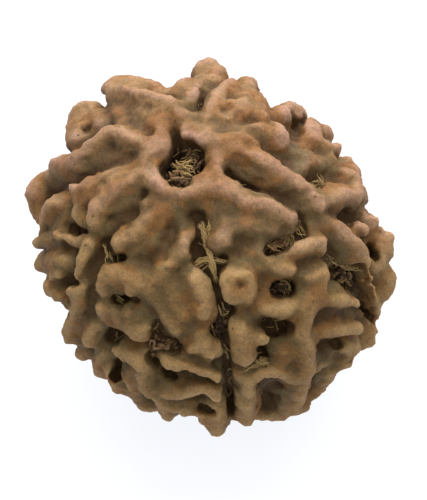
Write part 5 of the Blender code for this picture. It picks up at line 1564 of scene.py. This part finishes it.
@dataclass
class SeedStone:
    """The seed's hard woody stone, with seven knobbly ridged faces.

    Sizes are in millimetres. Its relief is a list of (name, size, height, finer layers), and the grain
    tree blurs the skin for a number of rounds to find what stands out.
    """

    view: LayoutView
    finish: StoneFinish
    voxel: float = 0.222
    smooth_rounds: int = 6
    relief: tuple = (("Lump", 1.6, 0.17, 1.0), ("Wrinkle", 1.1, 0.22, 1.0), ("Knot", 0.5, 0.045, 2.0))
    wrinkle_width: float = 0.09
    sharpness: float = 0.36
    sharpened: float = 0.5
    blur_rounds: int = 26
    basin_breadth: float = 6.0

    def sizes(self) -> dict[str, float | int]:
        """Give the grain tree's inputs.

        Returns:
            What each named input gets.
        """
        sizes = {"Sharpness": self.sharpness, "Blur Rounds": self.blur_rounds}
        for name, size, height, _ in self.relief:
            sizes |= {name + " Size": size * MM, name + " Height": height * MM}
        return sizes

    def grain_tree(self, material: bpy.types.Material) -> bpy.types.NodeTree:
        """Make the tree that roughens the skin and marks crests and hollows.

        Args:
            material: The stone's material.

        Returns:
            The tree.
        """
        pad, given = Workshop.tree("stone_grain", self.sizes())
        place = pad.add("GeometryNodeInputPosition")
        normal = pad.add("GeometryNodeInputNormal")
        marked = given["Geometry"]
        for name, times in (("basin", self.basin_breadth), ("crest", 1.0)):
            blurred = pad.add("GeometryNodeBlurAttribute", {
                0: place, "Iterations": pad.times(given["Blur Rounds"], times)}, data_type="FLOAT_VECTOR")
            proud = pad.vector("DOT_PRODUCT", pad.vector("SUBTRACT", place, blurred), normal)
            marked = pad.store(marked, name, pad.times(proud, 1.0 / MM))
        limit = self.sharpened * MM
        rise = pad.times(pad.math("MINIMUM", pad.math("MAXIMUM", proud, -limit), limit), given["Sharpness"])
        for name, _, _, detail in self.relief:
            pattern = pad.add("ShaderNodeTexNoise", {
                "Vector": place, "Scale": pad.math("DIVIDE", 1.0, given[name + " Size"]), "Detail": detail})
            swell = pad.minus(pattern, 0.5)
            if name == "Wrinkle":
                swell = pad.minus(self.wrinkle_width, pad.math("ABSOLUTE", swell))
            rise = pad.plus(rise, pad.times(swell, pad.times(given[name + " Height"], NOISE_SWING)))
        offset = pad.vector("SCALE", normal, rise, "Scale")
        moved = pad.add("GeometryNodeSetPosition", {"Geometry": marked, "Offset": offset})
        return Workshop.finish_tree(pad, moved, material)

    def mark_height(self, mesh: bpy.types.Mesh) -> None:
        """Store how high each point stands over the crest radius, in millimetres.

        Args:
            mesh: The stone's mesh.
        """
        flat = np.empty(len(mesh.vertices) * 3, dtype=np.float32)
        mesh.vertices.foreach_get("co", flat)
        places = flat.reshape(-1, 3) / MM - np.array(SEED_MIDDLE)
        axes = np.array([self.view.to_seed(Vector(axis)) for axis in ((1, 0, 0), (0, 1, 0), (0, 0, 1))])
        seen = places @ axes.T
        reach = np.linalg.norm(seen, axis=1)
        seen /= reach[:, None]
        heading = np.arctan2(seen[:, 1], seen[:, 0])
        loss = sum(amount * np.maximum(0.0, np.cos(heading - math.radians(turn))) ** narrowness
                   for turn, amount, narrowness in self.view.low_sides)
        height = reach + loss * np.hypot(seen[:, 0], seen[:, 1]) ** LOW_SIDE_FADE - CREST_RADIUS
        marks = mesh.attributes.new("height", "FLOAT", "POINT")
        marks.data.foreach_set("value", height.astype(np.float32))

    def build(self) -> bpy.types.Object:
        """Model the stone, fuse it, cut its hollows and roughen its skin.

        Returns:
            The stone.
        """
        poles = StalkPoles(self.view)
        ridges = Ridges(self.view, poles)
        hollows = Hollows(self.view, poles)
        clay = Clay(self.view)
        rolls = ridges.front() + ridges.rim() + ridges.far() + ridges.rest_knobs()
        body = Workshop.place("stone_clay", clay.mesh("stone_clay", rolls, CORE_RADIUS))
        cuts = hollows.front() + hollows.rim() + hollows.far(ridges.far_pits)
        cutter = Workshop.place("hollow_cutter", clay.mesh("hollow_cutter", cuts))
        fused = {"mode": "VOXEL", "voxel_size": (self.voxel) * MM,
                 "use_smooth_shade": True}
        Workshop.modify(cutter, "fuse", "REMESH", **fused)
        Workshop.modify(cutter, "soften", "SMOOTH", factor=0.5, iterations=CUTTER_SMOOTH_ROUNDS)
        Workshop.modify(body, "fuse", "REMESH", **fused)
        Workshop.modify(body, "hollows", "BOOLEAN", operation="DIFFERENCE", solver="MANIFOLD",
                        object=cutter)
        Workshop.modify(body, "fuse again", "REMESH", **fused)
        Workshop.modify(body, "soften", "SMOOTH", factor=0.5, iterations=self.smooth_rounds)
        grain = Workshop.modify(body, "grain", "NODES")
        Workshop.set_inputs(grain, self.grain_tree(self.finish.build()), self.sizes())
        stone = Workshop.bake(body, "stone_skin")
        bpy.data.objects.remove(cutter, do_unlink=True)
        self.wear_flat(stone.data)
        self.mark_height(stone.data)
        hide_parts("seed_stone")
        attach(stone, "root")
        return stone

    def wear_flat(self, mesh: bpy.types.Mesh) -> None:
        """Wear the low knobs flat where the stone rests on the ground.

        Args:
            mesh: The stone's mesh.
        """
        for vertex in mesh.vertices:
            if vertex.co.z < 0.0:
                vertex.co.z = 0.0


@dataclass(frozen=True)
class Bundle:
    """One piece of strands along guide lines, with its sizes in millimetres."""

    piece: str
    lines: list
    material: str
    strands: int
    spread: float
    wander: float
    wander_size: float
    half_width: float
    step: float
    seed: int

    def sizes(self) -> dict[str, float | int]:
        """Give the bundle tree's inputs."""
        return {"Strands": self.strands, "Spread": self.spread * MM, "Wander": self.wander * MM,
                "Wander Size": self.wander_size * MM, "Half Width": self.half_width * MM,
                "Step": self.step * MM, "Seed": self.seed}


BUNDLES = (
    Bundle("stalk_hole_tuft", HOLE_TUFT, "tuft_fibre", 7, 0.26, 0.34, 0.5, 0.036, 0.10, 11),
    Bundle("front_groove_strand", FRONT_STRAND, "straw_fibre", 9, 0.13, 0.20, 0.7, 0.027, 0.16, 3),
    Bundle("cave_strands", CAVE_STRANDS, "straw_fibre", 8, 0.36, 0.20, 0.7, 0.027, 0.14, 5),
    Bundle("hollow_strands", DARK_STRANDS, "brown_fibre", 8, 0.45, 0.20, 0.8, 0.042, 0.16, 8),
    Bundle("hollow_crumbs", CRUMB_LINES, "crumb_fibre", 6, 0.5, 0.5, 0.35, 0.10, 0.10, 6),
)


@dataclass
class PulpFibres:
    """What is left of the dried pulp: strands in the hole, along the front groove and in the caves.

    Sizes are in millimetres.
    """

    view: LayoutView
    stone: bpy.types.Object
    finish: FibreFinish
    crumb_finish: FibreFinish
    strand_sides: int = 5
    thinnest_strand: float = 0.45
    tip_width: float = 0.25
    taper: float = 5.0
    broad_wander_size: float = 3.5
    hair_sides: int = 3
    hair_points: int = 7
    hair_density: float = 0.9e6
    hair_length: float = 1.5
    hair_half_width: float = 0.032
    hair_heights: tuple = (-3.2, -1.75)
    hair_scales: tuple = (0.45, 1.3)
    thinnest_hair: float = 0.5
    hair_rise: float = 0.5
    hair_bend: float = 0.4
    hair_wander: float = 0.9
    hair_wander_size: float = 0.7
    hair_seed: int = 4

    def bundle_tree(self) -> bpy.types.NodeTree:
        """Make the tree that turns guide lines into bundles of wandering strands.

        Returns:
            The tree.
        """
        pad, given = Workshop.tree("fibre_bundles", BUNDLES[0].sizes() | {"Material": None})
        index = pad.add("GeometryNodeInputIndex")
        numbered = pad.store(given["Geometry"], "guide", index, "INT", "CURVE")
        copied = pad.add("GeometryNodeDuplicateElements", {
            "Geometry": numbered, "Amount": given["Strands"]}, domain="SPLINE")
        copy_index = pad.pick(copied.node.outputs, "Duplicate Index")
        number = pad.plus(pad.times(pad.stored("guide", "INT"), GUIDE_STRIDE), copy_index)
        copied = pad.store(copied, "strand", pad.luck(given["Seed"], ID=number), domain="CURVE")
        fine = pad.add("GeometryNodeResampleCurve", {
            "Curve": copied, "Length": given["Step"]}, mode="LENGTH")
        strand = pad.stored("strand")
        place = pad.add("GeometryNodeInputPosition")
        pushes = []
        for size, amount in ((self.broad_wander_size * MM, given["Spread"]),
                             (given["Wander Size"], given["Wander"])):
            pattern = pad.add("ShaderNodeTexNoise", {
                "Vector": place, "W": pad.times(strand, STRAND_STRIDE), "Detail": 1.0,
                "Scale": pad.math("DIVIDE", 1.0, size)}, out=1, noise_dimensions="4D")
            pushes.append(pad.wander(pattern, pad.times(amount, NOISE_SWING)))
        moved = pad.add("GeometryNodeSetPosition", {"Geometry": fine, "Offset": pad.vector("ADD", *pushes)})
        along = pad.add("GeometryNodeSplineParameter")
        from_middle = pad.math("ABSOLUTE", pad.minus(pad.times(along, 2.0), 1.0))
        fullness = pad.minus(1.0, pad.math("POWER", from_middle, self.taper))
        width = pad.times(pad.times(given["Half Width"], pad.plus(strand, self.thinnest_strand)),
                          pad.plus(pad.times(fullness, 1.0 - self.tip_width), self.tip_width))
        return Workshop.finish_tree(pad, pad.tubes(moved, width, self.strand_sides), given["Material"])

    def hair_sizes(self) -> dict[str, float | int]:
        """Give the hair tree's inputs."""
        return {"Density": self.hair_density, "Length": self.hair_length * MM,
                "Half Width": self.hair_half_width * MM, "Deepest": self.hair_heights[0],
                "Highest": self.hair_heights[1], "Seed": self.hair_seed}

    def hair_tree(self) -> bpy.types.NodeTree:
        """Make the tree that strews short bent hairs over the stone's grooves and hollows.

        Returns:
            The tree.
        """
        pad, given = Workshop.tree("hollow_fuzz", self.hair_sizes() | {"Material": None})
        height = pad.stored("height")
        chosen = pad.times(pad.math("GREATER_THAN", height, given["Deepest"]),
                           pad.math("LESS_THAN", height, given["Highest"]))
        points = pad.add("GeometryNodeDistributePointsOnFaces", {
            "Mesh": given["Geometry"], "Selection": chosen, "Density": given["Density"],
            "Seed": given["Seed"]})
        spin = pad.add("FunctionNodeAxisAngleToRotation", {
            "Axis": (0.0, 0.0, 1.0), "Angle": pad.luck(TURN_SEED, 0.0, math.tau)})
        facing = pad.add("FunctionNodeRotateRotation", {
            0: pad.pick(points.node.outputs, "Rotation"), 1: spin}, rotation_space="LOCAL")
        half = pad.times(given["Length"], 0.5)
        start = pad.add("ShaderNodeCombineXYZ", {"X": pad.times(half, -1.0)})
        top = pad.add("ShaderNodeCombineXYZ", {"Z": pad.times(half, self.hair_rise)})
        end = pad.add("ShaderNodeCombineXYZ", {"X": half, "Y": pad.times(half, self.hair_bend)})
        line = pad.add("GeometryNodeCurveQuadraticBezier", {
            "Resolution": self.hair_points, "Start": start, "Middle": top, "End": end})
        hairs = pad.add("GeometryNodeInstanceOnPoints", {
            "Points": points, "Instance": line, "Rotation": facing,
            "Scale": pad.luck(LENGTH_SEED, *self.hair_scales)})
        hairs = pad.store(hairs, "strand", pad.luck(SHADE_SEED), domain="INSTANCE")
        loose = pad.add("GeometryNodeRealizeInstances", {"Geometry": hairs})
        place = pad.add("GeometryNodeInputPosition")
        pattern = pad.noise(place, self.hair_wander_size * MM, 2.0, out=1)
        moved = pad.add("GeometryNodeSetPosition", {
            "Geometry": loose, "Offset": pad.wander(pattern, self.hair_wander * MM)})
        width = pad.times(given["Half Width"], pad.plus(pad.stored("strand"), self.thinnest_hair))
        return Workshop.finish_tree(pad, pad.tubes(moved, width, self.hair_sides), given["Material"])

    def strands(self, bundle: Bundle, tree: bpy.types.NodeTree,
                material: bpy.types.Material) -> bpy.types.Object:
        """Make one piece of strands along guide lines.

        Args:
            bundle: The piece's name, guide lines and sizes.
            tree: The tree that bundles strands.
            material: The piece's material.

        Returns:
            The piece.
        """
        clay = Clay(self.view)
        paths = []
        for line in bundle.lines:
            roll = [(self.view.seen_point(right, up, distance), 1.0) for right, up, distance in line]
            paths.append([(place + Vector(SEED_MIDDLE), radius) for place, radius in clay.flowing(roll)])
        guides = Workshop.curve(bundle.piece + "_guides", paths)
        modifier = Workshop.modify(guides, "bundles", "NODES")
        Workshop.set_inputs(modifier, tree, bundle.sizes() | {"Material": material})
        return self.tidy(Workshop.bake(guides, bundle.piece))

    def hairs(self, name: str, material: bpy.types.Material) -> bpy.types.Object:
        """Make one piece of short hairs strewn over the hollows.

        Args:
            name: The piece's name.
            material: Its material.

        Returns:
            The piece.
        """
        carrier = Workshop.place(name + "_carrier", self.stone.data.copy())
        carrier.data.materials.clear()
        modifier = Workshop.modify(carrier, "fuzz", "NODES")
        Workshop.set_inputs(modifier, self.hair_tree(), self.hair_sizes() | {"Material": material})
        return self.tidy(Workshop.bake(carrier, name))

    def tidy(self, piece: bpy.types.Object) -> bpy.types.Object:
        """Turn a piece's faces outwards and hang it on the seed.

        Args:
            piece: The piece.

        Returns:
            The same piece.
        """
        shape = bmesh.new()
        shape.from_mesh(piece.data)
        bmesh.ops.recalc_face_normals(shape, faces=shape.faces)
        for face in shape.faces:
            face.smooth = True
        shape.to_mesh(piece.data)
        shape.free()
        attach(piece, "root")
        return piece

    def build(self) -> list[bpy.types.Object]:
        """Make every fibre piece.

        Returns:
            The pieces.
        """
        materials = {name: finish.build(name, paleness) for name, finish, paleness in (
            ("straw_fibre", self.finish, 1.0), ("brown_fibre", self.finish, 0.35),
            ("tuft_fibre", self.finish, 0.8), ("crumb_fibre", self.crumb_finish, 0.4))}
        tree = self.bundle_tree()
        tuft, *others = [self.strands(bundle, tree, materials[bundle.material]) for bundle in BUNDLES]
        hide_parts("stalk_hole_fibres")
        return [tuft, *others, self.hairs("groove_hairs", materials["brown_fibre"])]


@dataclass
class PhotoStudio:
    """A pale ground, soft light from behind and above, and a camera at the photograph's angle."""

    view: LayoutView
    ground: GroundFinish
    lens: float = 247.5
    sensor: float = 36.0
    aim_right: float = 0.18
    aim_up: float = -0.29
    nearest: float = 0.01
    floor_side: float = 1.6
    key_energy: float = 1.6
    lamp_size: float = 0.34
    key_place: tuple = (0.01, 0.130, 0.190)
    fill_energy: float = 0.64
    fill_place: tuple = (0.02, -0.12, 0.22)
    light_colour: tuple = (1.0, 0.955, 0.90)
    sky: tuple = (0.97, 0.98, 1.0, 1.0)
    sky_strength: float = 0.22

    def build(self) -> None:
        """Set up the ground, the lights and the camera."""
        scene = bpy.context.scene
        scene.view_settings.view_transform = "Standard"
        middle = Vector(SEED_MIDDLE) * MM
        shape = bmesh.new()
        bmesh.ops.create_grid(shape, x_segments=1, y_segments=1, size=self.floor_side / 2.0)
        floor_mesh = bpy.data.meshes.new("pale_floor")
        shape.to_mesh(floor_mesh)
        shape.free()
        floor_mesh.materials.append(self.ground.build())
        Workshop.place("pale_floor", floor_mesh)

        for name, energy, place in (("soft_key", self.key_energy, self.key_place),
                                    ("soft_fill", self.fill_energy, self.fill_place)):
            lamp = bpy.data.lights.new(name, "AREA")
            lamp.energy = energy
            lamp.size = self.lamp_size
            lamp.color = self.light_colour
            holder = Workshop.place(name, lamp)
            holder.location = middle + Vector(place)
            holder.rotation_euler = Vector(place).to_track_quat("Z", "Y").to_euler()

        world = bpy.data.worlds.new("studio_air")
        scene.world = world
        world.use_nodes = True
        air = world.node_tree.nodes["Background"]
        air.inputs["Color"].default_value = self.sky
        air.inputs["Strength"].default_value = self.sky_strength

        camera_data = bpy.data.cameras.new("photo_camera")
        camera_data.lens = self.lens
        camera_data.sensor_width = self.sensor
        camera_data.clip_start = self.nearest
        camera = Workshop.place("photo_camera", camera_data)
        aim = middle + (Vector((self.aim_right, 0.0, 0.0))
                        + self.view.to_seed(Vector((0.0, self.aim_up, 0.0)))) * MM
        camera.location = aim + self.view.to_seed(Vector((0.0, 0.0, self.view.distance))) * MM
        camera.rotation_euler = (math.pi / 2.0 - self.view.elevation, 0.0, 0.0)
        scene.camera = camera


def main() -> None:
    """Build the seed, its fibres and the studio."""
    logging.basicConfig(level=logging.INFO, format="%(name)s: %(message)s")
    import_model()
    view = LayoutView()
    stone = SeedStone(view, StoneFinish()).build()
    fibres = PulpFibres(view, stone, FibreFinish(), FibreFinish(*CRUMB_COLOURS)).build()
    for piece in (stone, *fibres):
        log.info("%s: %d faces", piece.name, len(piece.data.polygons))
    PhotoStudio(view, GroundFinish()).build()


if __name__ == "__main__":
    main()
